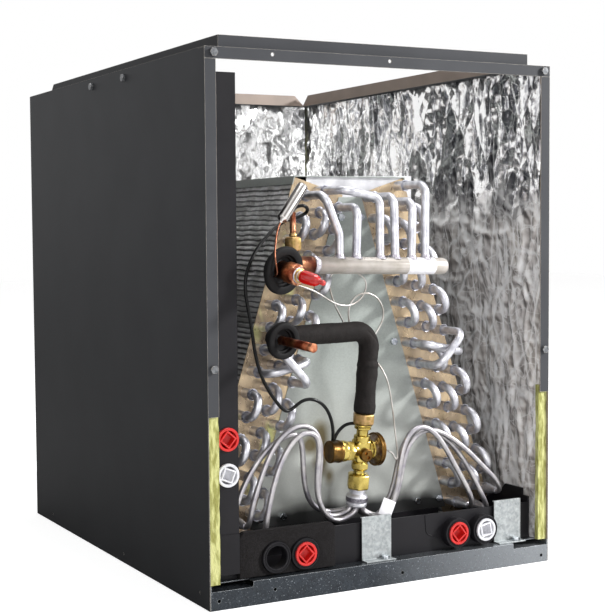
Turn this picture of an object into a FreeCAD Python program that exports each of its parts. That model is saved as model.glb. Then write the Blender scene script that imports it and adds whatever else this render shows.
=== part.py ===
# Cased evaporator coil with its front access panel off.
# Frame: X to the right, Y from front to back, Z up, origin on the floor under the cabinet's centre.
# Drawing frame: the same, but Y is counted as depth behind the cabinet's front face.
import FreeCAD, Part
import math
import os
import Sketcher

os.makedirs("parts", exist_ok=True)
doc = FreeCAD.newDocument("evaporator_coil")
sheet = doc.addObject("Spreadsheet::Sheet", "Sizes")

SIZES = {
    # Cabinet
    "cabinet_width": 444.5,
    "cabinet_depth": 558.8,
    "cabinet_height": 581.0,
    "gauge": 1.0,
    "duct_flange_height": 14.2,
    "front_margin": 13.5,
    "side_margin": 22.0,
    "back_margin": 22.0,
    "flange_corner_cut": 14.5,
    "rail_drop": 12.3,
    "stile_width": 12.7,
    "stile_bottom": 202.0,
    "stile_lap": 9.0,
    "base_height": 26.0,
    "base_shelf": 25.0,
    "base_return": 15.0,
    "base_notch_length": 50.0,
    "base_notch_drop": 6.0,
    "base_notch_depth": 12.0,
    "sheet_hole_radius": 1.9,
    "insulation": 12.7,
    # Tube lattice of the two leaning slabs
    "slab_lean": 17.58,
    "face_pitch": 25.4,
    "row_pitch": 22.2,
    "slab_half_gap": 60.3,
    "slab_seat": 17.55,
    "slab_reference_height": "=base_height + pan_wall + slab_seat + pitches_below * face_pitch * cos(slab_lean)"
                             " + row_pitch / 2 * sin(slab_lean)",
    "pitches_above": 5.25,
    "pitches_below": 10.75,
    "tube_radius": 4.7625,
    "sheet_face": 82.0,
    "rear_space": 40.8,
    "slab_length": "=cabinet_depth - sheet_face - rear_space",
    "fin_relief": 5.0,
    "fin_step": 14.8,
    "fin_gap": 7.0,
    "fin_gaps": "=floor((slab_length - 2 * gauge - fin_gap) / fin_step) + 1",
    "bell_depth": 18.0,
    "bend_reach": 41.0,
    "hairpin_reach": 19.8,
    # Plates that close the coil
    "delta_top": 431.0,
    "delta_bottom": 60.0,
    "delta_lap": 5.0,
    "cover_flange": 9.0,
    # Suction header and stub
    "header_depth": 24.0,
    "header_radius": 9.525,
    "header_left": -81.0,
    "header_right": 92.5,
    "header_left_height": 355.8,
    "header_right_height": 351.4,
    "copper_joint": 14.2,
    "elbow_x": -141.2,
    "elbow_radius": 15.0,
    "stub_pan": 14.0,
    "stub_tilt": 11.2,
    "stub_length": 51.9,
    "stub_spun_length": 15.0,
    "stub_spun_radius": 11.1,
    "core_length": 7.0,
    "core_radius": 5.2,
    "cap_length": 39.2,
    "cap_radius": 6.9,
    "suction_grommet_place": 26.1,
    "suction_grommet_radius": 25.75,
    "grommet_thickness": 12.0,
    "grommet_clearance": 0.2,
    # Liquid line, its insulation and its grommet
    "line_radius": 4.6,
    "line_end_radius": 4.7625,
    "line_free_length": 48.0,
    "line_turn_x": -133.25,
    "line_depth": 29.5,
    "line_height": 279.0,
    "line_pan": 8.0,
    "line_tilt": 4.8,
    "line_stub_length": 76.0,
    "line_drop_x": -6.85,
    "line_drop_height": 281.5,
    "line_bend_radius": 17.0,
    "line_elbow_radius": 12.0,
    "foam_radius": 11.2,
    "foam_seam_height": 242.0,
    "foam_start": 14.3,
    "liquid_grommet_place": 20.5,
    "liquid_grommet_radius": 20.0,
    # Expansion valve, along its own leaning axis
    "valve_x": -15.5,
    "valve_depth": 29.0,
    "valve_top": 189.0,
    "valve_lean_back": 7.0,
    "valve_lean_side": -1.5,
    "inlet_nut_length": 12.0,
    "inlet_nut_flats": 22.2,
    "valve_neck_length": 15.0,
    "valve_neck_radius": 7.4,
    "valve_body_length": 30.0,
    "valve_body_width": 21.0,
    "valve_hex_length": 11.5,
    "valve_hex_flats": 18.5,
    "valve_arm_radius": 10.0,
    "valve_left_arm": 27.0,
    "valve_right_arm": 15.0,
    "stem_cap_length": 15.0,
    "stem_cap_radius": 12.6,
    "head_radius": 19.0,
    "head_thickness": 9.0,
    "outlet_nut_length": 18.0,
    "outlet_nut_flats": 23.0,
    "distributor_length": 20.0,
    "distributor_radius": 12.0,
    "distributor_tube_radius": 3.1,
    # Sensing bulb, equaliser and capillary
    "bulb_radius": 6.2,
    "bulb_length": 50.0,
    "equaliser_radius": 1.9,
    "capillary_radius": 0.9,
    "port_x": -107.5,
    "port_nut_flats": 17.5,
    "port_nut_length": 15.0,
    "port_nut_height": 372.0,
    "port_tube_radius": 3.2,
    "port_tube_top": 413.0,
    # Drain pans
    "pan_clearance": 0.5,
    "pan_wall": 2.5,
    "pan_front": 17.5,
    "pan_rim": 69.0,
    "pan_opening_half_width": 118.0,
    "pan_opening_rim": 60.0,
    "pan_block_width": 26.0,
    "pan_block_front": 10.0,
    "pan_block_bottom": 33.0,
    "pan_post_height": 84.0,
    "pan_post_front": 28.0,
    "pan_post_back": 60.0,
    "rib_thickness": 8.0,
    "rib_weep_height": 6.0,
    "rib_weep_width": 12.0,
    "port_rise": 19.5,
    "port_height": "=base_height + port_rise",
    "port_face": 8.0,
    "port_bore_radius": 12.3,
    "port_boss_radius": 17.0,
    "left_open_port": -138.85,
    "left_plugged_port": -103.75,
    "right_plugged_port": 97.75,
    "right_white_port": 136.25,
    "foam_block_right": -65.25,
    "foam_block_thickness": 7.5,
    "foam_block_height": 49.0,
    "side_pan_bottom": 75.7,
    "side_pan_drop": 24.0,
    "side_pan_top": "=cabinet_height - side_pan_drop",
    "side_pan_front": 11.0,
    "side_pan_lip": 12.5,
    "side_pan_red_port": 176.3,
    "side_pan_white_port": 138.6,
    "plug_clearance": 0.3,
    "plug_head": 3.0,
    "plug_depth": 9.0,
    # Brackets and screws
    "bracket_gauge": 1.5,
    "bracket_front": 14.0,
    "bracket_foot": 10.0,
    "bracket_top": 75.5,
    "centre_bracket_x": -8.75,
    "right_bracket_x": 173.2,
    "bracket_width": 38.5,
    "screw_flats": 7.9,
    "screw_head": 3.6,
}

for row, (alias, number) in enumerate(SIZES.items(), start=1):
    sheet.set(f"A{row}", alias)
    sheet.set(f"B{row}", str(number))
    sheet.setAlias(f"B{row}", alias)
doc.recompute()


class Size:
    """A length known as a number and as the expression that keeps it bound to the sheet."""

    def __init__(self, number, text):
        self.number = number
        self.text = text

    def __add__(self, other):
        other = as_size(other)
        return Size(self.number + other.number, f"({self.text} + {other.text})")

    def __sub__(self, other):
        other = as_size(other)
        return Size(self.number - other.number, f"({self.text} - {other.text})")

    def __mul__(self, other):
        other = as_size(other)
        return Size(self.number * other.number, f"({self.text} * {other.text})")

    def __truediv__(self, other):
        other = as_size(other)
        return Size(self.number / other.number, f"({self.text} / {other.text})")

    def __neg__(self):
        return self * -1

    def __radd__(self, other):
        return as_size(other) + self

    def __rsub__(self, other):
        return as_size(other) - self

    def __rmul__(self, other):
        return self * other

    def __float__(self):
        return float(self.number)


def as_size(value):
    """Read a plain number as a size."""
    if isinstance(value, Size):
        return value
    return Size(float(value), f"({value})")


class Cells:
    """The sheet's cells by name."""

    def __getattr__(self, alias):
        return Size(float(sheet.get(alias)), f"Sizes.{alias}")


size = Cells()
half_width = size.cabinet_width / 2
half_depth = size.cabinet_depth / 2
inner_half_width = half_width - size.gauge
lined_half_width = inner_half_width - size.insulation
lined_back = size.cabinet_depth - size.gauge - size.insulation
pan_half_width = lined_half_width - size.pan_clearance
pan_back = lined_back - size.pan_clearance
rail_bottom = size.cabinet_height - size.rail_drop
sheet_back = size.sheet_face + size.gauge
rear_sheet = size.sheet_face + size.slab_length
column_inner = -0.5 * size.row_pitch
column_outer = 2.5 * size.row_pitch
slab_top = size.pitches_above * size.face_pitch
slab_bottom = -1 * size.pitches_below * size.face_pitch

lean = math.radians(float(size.slab_lean))
Vector = FreeCAD.Vector
WHOLE_TURN = 360


# Bodies, sketches and features


def new_body(label):
    """Start a body in the drawing frame."""
    body = doc.addObject("PartDesign::Body", label)
    body.Label = label
    body.setExpression("Placement.Base.y", (-half_depth).text)
    return body


def sketch_on(body, role, offset=0):
    """Put a sketch on one of the body's own planes, moved along the plane's normal."""
    sketch = body.newObject("Sketcher::SketchObject", "Sketch")
    origin_plane = next(item for item in body.Origin.OriginFeatures if item.Role == role)
    sketch.AttachmentSupport = (origin_plane, "")
    sketch.MapMode = "FlatFace"
    sketch.setExpression("AttachmentOffset.Base.z", as_size(offset).text)
    return sketch


def bind(sketch, kind, number, point, value):
    """Hold one coordinate of a sketch point with an expression."""
    index = sketch.addConstraint(Sketcher.Constraint(kind, -1, 1, number, point, value.number))
    sketch.setExpression(f"Constraints[{index}]", value.text)


def polygon(sketch, corners):
    """Draw a closed outline whose corners are bound to the sheet."""
    corners = [(as_size(x), as_size(y)) for x, y in corners]
    spots = [Vector(x.number, y.number, 0) for x, y in corners]
    first = sketch.GeometryCount
    count = len(spots)
    for number in range(count):
        sketch.addGeometry(Part.LineSegment(spots[number], spots[(number + 1) % count]), False)
    for number in range(count):
        following = first + (number + 1) % count
        sketch.addConstraint(Sketcher.Constraint("Coincident", first + number, 2, following, 1))
    for number, (x, y) in enumerate(corners):
        bind(sketch, "DistanceX", first + number, 1, x)
        bind(sketch, "DistanceY", first + number, 1, y)


def rectangle(sketch, left, right, bottom, top):
    """Draw a rectangle from its four sides."""
    polygon(sketch, [(left, bottom), (right, bottom), (right, top), (left, top)])


def circle(sketch, x, y, radius):
    """Draw a circle bound to the sheet."""
    x, y, radius = as_size(x), as_size(y), as_size(radius)
    number = sketch.GeometryCount
    centre = Vector(x.number, y.number, 0)
    sketch.addGeometry(Part.Circle(centre, Vector(0, 0, 1), radius.number), False)
    bind(sketch, "DistanceX", number, 3, x)
    bind(sketch, "DistanceY", number, 3, y)
    index = sketch.addConstraint(Sketcher.Constraint("Radius", number, radius.number))
    sketch.setExpression(f"Constraints[{index}]", radius.text)


def pad(body, sketch, length, backward=False):
    """Add material along the sketch's normal, or against it."""
    feature = body.newObject("PartDesign::Pad", "Pad")
    feature.Profile = sketch
    feature.Reversed = backward
    feature.setExpression("Length", as_size(length).text)
    sketch.Visibility = False
    doc.recompute()
    return feature


def pocket(body, sketch, length=None, backward=False):
    """Take material away to a depth, or both ways through everything."""
    doc.recompute()
    before = body.Shape.Volume
    feature = body.newObject("PartDesign::Pocket", "Pocket")
    feature.Profile = sketch
    feature.Reversed = backward
    if length is None:
        feature.Type = "ThroughAll"
        feature.Midplane = True
    else:
        feature.setExpression("Length", as_size(length).text)
    doc.recompute()
    if body.Shape.Volume >= before - 1e-6:
        raise RuntimeError(f"{body.Label}: a pocket cut nothing")
    return feature


def front_sketch(body, depth=0):
    """A sketch that faces the front, at a depth behind the cabinet's face."""
    return sketch_on(body, "XZ_Plane", -as_size(depth))


def pad_back(body, sketch, length):
    """Grow a front-facing sketch towards the back."""
    return pad(body, sketch, length, backward=True)


def turned(label, rings, place, extra=None):
    """Revolve a half section, given as radius and height pairs, about its own axis."""
    body = doc.addObject("PartDesign::Body", label)
    body.Label = label
    sketch = sketch_on(body, "XZ_Plane")
    polygon(sketch, rings)
    feature = body.newObject("PartDesign::Revolution", "Revolution")
    feature.Profile = sketch
    feature.ReferenceAxis = (sketch, ["V_Axis"])
    feature.Angle = WHOLE_TURN
    doc.recompute()
    if extra is not None:
        extra(body)
    body.Placement = place
    return body


def hexagon(sketch, flats):
    """Draw a hexagon on the sketch's origin from its width across flats."""
    flats = as_size(flats)
    corner = flats / math.sqrt(3)
    corners = []
    for step in range(6):
        angle = math.radians(60 * step)
        corners.append((corner * round(math.cos(angle), 6), corner * round(math.sin(angle), 6)))
    polygon(sketch, corners)


def feature_from(label, shape):
    """Keep a shape that is drawn in the drawing frame as an object of the document."""
    item = doc.addObject("Part::Feature", label)
    item.Label = label
    item.Shape = shape
    item.Placement = FreeCAD.Placement(Vector(0, -float(half_depth), 0), FreeCAD.Rotation())
    return item


# Places and directions


def point(x, depth, z):
    """A point of the drawing frame."""
    return Vector(float(x), float(depth), float(z))


def heading(pan, tilt):
    """The direction of a stub that leaves the front, panned right and tilted down."""
    pan = math.radians(float(pan))
    tilt = math.radians(float(tilt))
    level = math.cos(tilt)
    return Vector(math.sin(pan) * level, -math.cos(pan) * level, -math.sin(tilt))


def set_along(spot, direction):
    """Place a turned piece, drawn along Z, at a point and along a direction."""
    lifted = spot + Vector(0, -float(half_depth), 0)
    return FreeCAD.Placement(lifted, FreeCAD.Rotation(Vector(0, 0, 1), direction))


def slab_placement(side):
    """Stand a slab's own frame at its lean: X across the rows, Z up along the slab."""
    spot = Vector(side * float(size.slab_half_gap), -float(half_depth), float(size.slab_reference_height))
    turn = FreeCAD.Rotation(Vector(0, 1, 0), -side * float(size.slab_lean))
    return FreeCAD.Placement(spot, turn)


def tube_place(side, pitches_down, column, depth):
    """The centre of a tube at a depth, from its place in the slab's lattice."""
    along = pitches_down * float(size.face_pitch)
    across = column * float(size.row_pitch)
    x = float(size.slab_half_gap) + along * math.sin(lean) + across * math.cos(lean)
    z = float(size.slab_reference_height) - along * math.cos(lean) + across * math.sin(lean)
    return point(side * x, depth, z)


# Tubes


def rounded(corners, radius, steps):
    """Give a path of corners bends of one radius, each divided into straight steps."""
    path = [corners[0]]
    for before, corner, after in zip(corners, corners[1:], corners[2:]):
        entry = (before - corner).normalize()
        leave = (after - corner).normalize()
        turn = math.pi - entry.getAngle(leave)
        if turn < math.radians(2):
            path.append(corner)
            continue
        reach = radius * math.tan(turn / 2)
        centre = corner + (entry + leave).normalize() * (radius / math.cos(turn / 2))
        start = corner + entry * reach - centre
        axis = entry.cross(leave).normalize()
        for step in range(steps + 1):
            swing = FreeCAD.Rotation(axis, -math.degrees(turn) * step / steps)
            path.append(centre + swing.multVec(start))
    path.append(corners[-1])
    return [spot for number, spot in enumerate(path) if number == 0 or spot.distanceToPoint(path[number - 1]) > 0.05]


def even_radius(radius, sides):
    """The corner radius of a polygon with the same area as the circle."""
    return radius * math.sqrt(2 * math.pi / (sides * math.sin(2 * math.pi / sides)))


def tube(path, radius, sides):
    """A tube of straight, mitred runs with flat faces along a path."""
    corner_radius = even_radius(float(radius), sides)
    first = (path[1] - path[0]).normalize()
    helper = Vector(0, 0, 1) if abs(first.z) < 0.9 else Vector(1, 0, 0)
    across = first.cross(helper).normalize()
    upward = first.cross(across).normalize()
    ring = []
    for number in range(sides):
        angle = 2 * math.pi * (number + 0.5) / sides
        ring.append(path[0] + across * (corner_radius * math.cos(angle)) + upward * (corner_radius * math.sin(angle)))
    rings = [ring]
    for number in range(1, len(path)):
        run = (path[number] - path[number - 1]).normalize()
        if number < len(path) - 1:
            following = (path[number + 1] - path[number]).normalize()
            normal = (run + following).normalize()
        else:
            normal = run
        moved = []
        for corner in rings[-1]:
            distance = (path[number] - corner).dot(normal) / run.dot(normal)
            moved.append(corner + run * distance)
        rings.append(moved)
    faces = [Part.Face(Part.makePolygon(rings[0] + rings[0][:1])), Part.Face(Part.makePolygon(rings[-1] + rings[-1][:1]))]
    for near, far in zip(rings, rings[1:]):
        for number in range(sides):
            other = (number + 1) % sides
            edge = [near[number], near[other], far[other], far[number], near[number]]
            faces.append(Part.Face(Part.makePolygon(edge)))
    shell = Part.makeShell(faces)
    shell.sewShape()
    solid = Part.makeSolid(shell)
    if solid.Volume < 0:
        solid.reverse()
    return solid


def round_tube(corners, radius, bend_radii):
    """A round rod along straight runs joined by tangent arcs."""
    edges = []
    start = corners[0]
    for before, corner, after, bend_radius in zip(corners, corners[1:], corners[2:], bend_radii):
        entry = (before - corner).normalize()
        leave = (after - corner).normalize()
        turn = math.pi - entry.getAngle(leave)
        reach = bend_radius * math.tan(turn / 2)
        arc_start = corner + entry * reach
        arc_end = corner + leave * reach
        middle = corner + (entry + leave).normalize() * (bend_radius / math.cos(turn / 2) - bend_radius)
        edges.append(Part.LineSegment(start, arc_start).toShape())
        edges.append(Part.Arc(arc_start, middle, arc_end).toShape())
        start = arc_end
    edges.append(Part.LineSegment(start, corners[-1]).toShape())
    path = Part.Wire(edges)
    section = Part.Wire(Part.Circle(corners[0], corners[1] - corners[0], radius).toShape())
    return path.makePipeShell([section], True, False)


# Cabinet


def side_panel(label, side):
    """A side wall with its front stile, top fold and duct flange."""
    body = new_body(label)
    outside = half_width * side
    inside = inner_half_width * side
    wall = sketch_on(body, "YZ_Plane", inside if side > 0 else outside)
    fold_start = size.front_margin + size.gauge
    polygon(wall, [
        (0, 0), (size.cabinet_depth, 0), (size.cabinet_depth, size.cabinet_height),
        (fold_start, size.cabinet_height), (fold_start, size.cabinet_height - size.gauge),
        (size.gauge, size.cabinet_height - size.gauge), (size.gauge, rail_bottom), (0, rail_bottom),
    ])
    pad(body, wall, size.gauge)
    fold = front_sketch(body, fold_start)
    flange_outside = (half_width - size.side_margin) * side
    flange_inside = (half_width - size.side_margin - size.gauge) * side
    flange_top = size.cabinet_height + size.duct_flange_height
    polygon(fold, [
        (outside, size.cabinet_height), (flange_outside, size.cabinet_height), (flange_outside, flange_top),
        (flange_inside, flange_top), (flange_inside, size.cabinet_height - size.gauge),
        (outside, size.cabinet_height - size.gauge),
    ])
    pad_back(body, fold, size.cabinet_depth - fold_start)
    stile = front_sketch(body)
    polygon(stile, [
        (outside, size.stile_bottom), ((half_width - size.stile_width) * side, size.stile_bottom),
        ((half_width - size.stile_width) * side, rail_bottom), (outside, rail_bottom),
    ])
    pad_back(body, stile, size.gauge)
    lap = front_sketch(body, size.gauge)
    polygon(lap, [
        (outside, rail_bottom - size.stile_lap), ((half_width - size.stile_width) * side, rail_bottom - size.stile_lap),
        ((half_width - size.stile_width) * side, size.cabinet_height - size.gauge),
        (outside, size.cabinet_height - size.gauge),
    ])
    pad_back(body, lap, size.gauge)
    corner = sketch_on(body, "YZ_Plane")
    flange_end = size.cabinet_depth - size.back_margin
    polygon(corner, [
        (flange_end, size.cabinet_height), (size.cabinet_depth + 1, size.cabinet_height),
        (size.cabinet_depth + 1, flange_top + 1), (flange_end - size.flange_corner_cut, flange_top + 1),
        (flange_end - size.flange_corner_cut, flange_top),
    ])
    pocket(body, corner)
    holes = sketch_on(body, "YZ_Plane")
    for depth, height in PANEL_HOLES:
        circle(holes, depth, height, size.sheet_hole_radius)
    pocket(body, holes)
    return body


# Small holes low in each side wall, as depth and height.
PANEL_HOLES = [(23.6, 14.8), (236.5, 10.8), (490.5, 11.9)]
# Spare holes in the top rail, by their x, and in the base's front wall, as x and height.
RAIL_HOLES = [-143.75, 1.15]
RAIL_HOLE_DROP = 5.0
BASE_HOLES = [(-211.65, 9.8), (-145.45, 13.8), (16.25, 11.3), (212.15, 7.8)]


def back_panel():
    """The rear wall with its top fold and duct flange."""
    body = new_body("back_panel")
    wall_front = size.cabinet_depth - size.gauge
    wall = front_sketch(body, wall_front)
    rectangle(wall, -inner_half_width, inner_half_width, 0, size.cabinet_height - size.gauge)
    pad_back(body, wall, size.gauge)
    fold_half = half_width - size.side_margin - size.gauge
    fold = sketch_on(body, "YZ_Plane", -fold_half)
    flange_back = size.cabinet_depth - size.back_margin
    flange_front = flange_back - size.gauge
    flange_top = size.cabinet_height + size.duct_flange_height
    polygon(fold, [
        (size.cabinet_depth, size.cabinet_height - size.gauge), (size.cabinet_depth, size.cabinet_height),
        (flange_back, size.cabinet_height), (flange_back, flange_top), (flange_front, flange_top),
        (flange_front, size.cabinet_height - size.gauge),
    ])
    pad(body, fold, fold_half * 2)
    for side in (-1, 1):
        corner = front_sketch(body)
        polygon(corner, [
            (fold_half * side, size.cabinet_height), ((fold_half + 1) * side, size.cabinet_height),
            ((fold_half + 1) * side, flange_top + 1), ((fold_half - size.flange_corner_cut) * side, flange_top + 1),
            ((fold_half - size.flange_corner_cut) * side, flange_top),
        ])
        pocket(body, corner)
    return body


def top_front_rail():
    """The rail over the access opening, folded back and up to carry the duct flange."""
    body = new_body("top_front_rail")
    section = sketch_on(body, "YZ_Plane", -half_width)
    polygon(section, [
        (0, rail_bottom), (0, size.cabinet_height), (size.front_margin, size.cabinet_height),
        (size.front_margin + size.gauge, size.cabinet_height),
        (size.front_margin + size.gauge, size.cabinet_height - size.gauge),
        (size.gauge, size.cabinet_height - size.gauge), (size.gauge, rail_bottom),
    ])
    pad(body, section, size.cabinet_width)
    flange = front_sketch(body, size.front_margin)
    flange_half = half_width - size.side_margin
    rectangle(flange, -flange_half, flange_half, size.cabinet_height - size.gauge,
              size.cabinet_height + size.duct_flange_height)
    pad_back(body, flange, size.gauge)
    holes = front_sketch(body)
    for x in RAIL_HOLES:
        circle(holes, x, size.cabinet_height - RAIL_HOLE_DROP, size.sheet_hole_radius)
    pocket(body, holes, size.gauge * 2)
    return body


def base_frame():
    """The folded base with a shelf all round that carries the drain pan."""
    body = new_body("base_frame")
    back = size.cabinet_depth - size.gauge
    outline = sketch_on(body, "XY_Plane")
    rectangle(outline, -inner_half_width, inner_half_width, 0, back)
    rectangle(outline, -inner_half_width + size.gauge, inner_half_width - size.gauge, size.gauge, back - size.gauge)
    pad(body, outline, size.base_height)
    shelf = sketch_on(body, "XY_Plane", size.base_height - size.gauge)
    rectangle(shelf, -inner_half_width, inner_half_width, 0, back)
    rectangle(shelf, -inner_half_width + size.base_shelf, inner_half_width - size.base_shelf,
              size.base_shelf, back - size.base_shelf)
    pad(body, shelf, size.gauge)
    sole = sketch_on(body, "XY_Plane")
    rectangle(sole, -inner_half_width, inner_half_width, 0, back)
    rectangle(sole, -inner_half_width + size.base_return, inner_half_width - size.base_return,
              size.base_return, back - size.base_return)
    pad(body, sole, size.gauge)
    for side in (-1, 1):
        notch = sketch_on(body, "YZ_Plane", (inner_half_width - size.base_notch_length) * side)
        rectangle(notch, -1, size.base_notch_depth, size.base_height - size.base_notch_drop, size.base_height + 1)
        pocket(body, notch, size.base_notch_length - size.gauge, backward=side > 0)
        step = sketch_on(body, "XY_Plane", size.base_height - size.base_notch_drop - size.gauge)
        rectangle(step, (inner_half_width - size.base_notch_length) * side, inner_half_width * side, 0, size.base_shelf)
        pad(body, step, size.gauge)
    holes = front_sketch(body)
    for x, height in BASE_HOLES:
        circle(holes, x, height, size.sheet_hole_radius)
    pocket(body, holes, size.gauge * 2)
    return body


def insulation(label, left, right, front, back):
    """A batt of foil-faced glass fibre glued to a wall."""
    body = new_body(label)
    outline = sketch_on(body, "XY_Plane", size.base_height)
    rectangle(outline, left, right, front, back)
    pad(body, outline, size.cabinet_height - size.gauge - size.base_height)
    return body


def cabinet():
    """The casing and its lining."""
    side_panel("left_side_panel", -1)
    side_panel("right_side_panel", 1)
    back_panel()
    top_front_rail()
    base_frame()
    batt_front = size.gauge * 2
    batt_back = size.cabinet_depth - size.gauge
    insulation("left_insulation", -inner_half_width, -lined_half_width, batt_front, batt_back)
    insulation("right_insulation", lined_half_width, inner_half_width, batt_front, batt_back)
    insulation("back_insulation", -lined_half_width, lined_half_width, lined_back, batt_back)


# Slabs of fins and tubes


def fin_pack(label, side):
    """A slab of plate fins, drawn as a comb with wider steps than the real fins."""
    body = doc.addObject("PartDesign::Body", label)
    body.Label = label
    depth = size.slab_length - size.gauge * 2
    block = sketch_on(body, "XZ_Plane", -sheet_back)
    rectangle(block, column_inner * side, column_outer * side, slab_bottom, slab_top)
    pad_back(body, block, depth)
    margin = (depth - size.fin_step * (size.fin_gaps - 1) - size.fin_gap) / 2
    slot = sketch_on(body, "XZ_Plane", -(sheet_back + margin))
    for near, far in ((column_inner, column_inner + size.fin_relief), (column_outer - size.fin_relief, column_outer)):
        rectangle(slot, near * side, far * side, slab_bottom - 1, slab_top + 1)
    gap = pocket(body, slot, size.fin_gap)
    row = body.newObject("PartDesign::LinearPattern", "Fins")
    row.Originals = [gap]
    row.Direction = (slot, ["N_Axis"])
    row.Reversed = True
    row.setExpression("Length", (size.fin_step * (size.fin_gaps - 1)).text)
    row.setExpression("Occurrences", size.fin_gaps.text)
    body.Tip = row
    body.Placement = slab_placement(side)
    return body


def tube_sheet(label, side, depth):
    """A plate at one end of a slab, with its long edges folded over the fins."""
    body = doc.addObject("PartDesign::Body", label)
    body.Label = label
    plate = sketch_on(body, "XZ_Plane", -as_size(depth))
    rectangle(plate, column_inner * side, column_outer * side, slab_bottom, slab_top)
    pad_back(body, plate, size.gauge)
    body.Placement = slab_placement(side)
    return body


def column_tubes(side, column):
    """The pitches of one column's tubes, counted down from the reference tube."""
    if (side > 0) == (column == 1):
        return [-4.5 + step for step in range(16)]
    return [-5.0 + step for step in range(16)]


def u_bend(first, second, reach, sides, steps):
    """A return bend between two tube ends on one face, reaching out along the depth."""
    half = first.distanceToPoint(second) / 2
    outward = Vector(0, reach, 0)
    corners = [first, first + outward, second + outward, second]
    return tube(rounded(corners, half * 0.999, steps), size.tube_radius, sides)


def bends_of(side):
    """The return bends at the front of a slab, and the two long ones that cross."""
    bends = []
    for column in (0, 1, 2):
        tubes = column_tubes(side, column)
        for upper in range(1, 14, 2):
            if column != 1 and upper == CROSSED_PAIR:
                continue
            ends = [tube_place(side, tubes[number], column, size.sheet_face) for number in (upper, upper + 1)]
            reach = -(float(size.sheet_face) - float(size.bend_reach) - float(size.tube_radius))
            bends.append(u_bend(ends[0], ends[1], reach, 8, 2))
    return bends


# In this pair of tubes the inner and outer columns change places.
CROSSED_PAIR = 7


def crossings_of(side):
    """Two long return bends that cross between the inner and outer columns."""
    inner = column_tubes(side, 0)
    outer = column_tubes(side, 2)
    crossings = []
    for number, (inner_step, outer_step, reach) in enumerate(((0, 1, 46.5), (1, 0, 58.0))):
        first = tube_place(side, inner[CROSSED_PAIR + inner_step], 0, size.sheet_face)
        second = tube_place(side, outer[CROSSED_PAIR + outer_step], 2, size.sheet_face)
        outward = Vector(0, -reach, 0)
        corners = [first, first + outward, second + outward, second]
        crossings.append(tube(rounded(corners, CROSSING_BEND, 3), size.tube_radius, 8))
    return crossings


CROSSING_BEND = 14.0


def hairpin_ends(side):
    """The closed ends of the hairpins at the back of a slab."""
    start = rear_sheet
    ends = []
    for column in (0, 1, 2):
        tubes = column_tubes(side, column)
        for upper in range(0, 16, 2):
            pair = [tube_place(side, tubes[number], column, start) for number in (upper, upper + 1)]
            ends.append(u_bend(pair[0], pair[1], float(size.hairpin_reach) - float(size.tube_radius), 6, 1))
    return ends


def slabs():
    """Both leaning slabs with their tube sheets and bends."""
    for name, side in (("left", -1), ("right", 1)):
        fin_pack(f"{name}_fin_pack", side)
        tube_sheet(f"{name}_front_tube_sheet", side, size.sheet_face)
        tube_sheet(f"{name}_rear_tube_sheet", side, rear_sheet - size.gauge)
        feature_from(f"{name}_return_bends", Part.makeCompound(bends_of(side)))
        feature_from(f"{name}_crossing_bends", Part.makeCompound(crossings_of(side)))
        feature_from(f"{name}_hairpin_ends", Part.makeCompound(hairpin_ends(side)))


def slab_edge(across, along):
    """A corner of the right slab in the drawing frame."""
    x = float(size.slab_half_gap) + float(across) * math.cos(lean) - float(along) * math.sin(lean)
    z = float(size.slab_reference_height) + float(across) * math.sin(lean) + float(along) * math.cos(lean)
    return x, z


def delta_plate(label, depth):
    """A plate that closes one end of the space between the slabs."""
    body = new_body(label)
    plate = front_sketch(body, depth)
    lean_rate = math.tan(lean)
    edge_x, edge_z = slab_edge(column_inner, 0)
    top_half = edge_x - (float(size.delta_top) - edge_z) * lean_rate + float(size.delta_lap)
    bottom_half = edge_x - (float(size.delta_bottom) - edge_z) * lean_rate + float(size.delta_lap)
    polygon(plate, [
        (-bottom_half, size.delta_bottom), (bottom_half, size.delta_bottom),
        (top_half, size.delta_top), (-top_half, size.delta_top),
    ])
    pad_back(body, plate, size.gauge)
    return body


def apex_cover():
    """The folded cover over the slabs' tops, which makes the air pass through the fins."""
    body = new_body("apex_cover")
    half, height = slab_edge(column_outer, slab_top)
    drop = float(size.cover_flange)
    out = drop * math.sin(lean)
    down = drop * math.cos(lean)
    gauge = float(size.gauge)
    side_step = gauge / math.cos(lean)
    section = front_sketch(body, size.sheet_face - size.gauge * 2)
    polygon(section, [
        (-half - side_step - out, height - down), (-half - side_step, height + gauge),
        (half + side_step, height + gauge), (half + side_step + out, height - down),
        (half + out, height - down), (half, height), (-half, height), (-half - out, height - down),
    ])
    pad_back(body, section, size.slab_length + size.gauge * 4)
    return body


# Suction side


def header_line():
    """The two ends of the header's centre line."""
    left = point(size.header_left, size.header_depth, size.header_left_height)
    right = point(size.header_right, size.header_depth, size.header_right_height)
    return left, right


def suction_header():
    """The aluminium manifold with its spun, rounded end."""
    left, right = header_line()
    length = as_size(left.distanceToPoint(right))
    radius = size.header_radius
    rings = [
        (0, 0), (radius, 0), (radius, length - radius * 0.6), (radius * 0.87, length - radius * 0.25),
        (radius * 0.5, length - radius * 0.06), (0, length),
    ]
    turned("suction_header", rings, set_along(left, right - left))


# The six feeders: lattice side, column, and where each meets the header.
FEEDERS = [
    (-1, 2, -49.55),
    (-1, 0, -27.95),
    (-1, 1, 3.15),
    (1, 0, 23.45),
    (1, 1, 44.85),
    (1, 2, 63.65),
]
FEEDER_BEND = 12.0
FEEDER_KNEE_RISE = 34.0
FEEDER_SLOPE_DROP = 8.0


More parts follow.
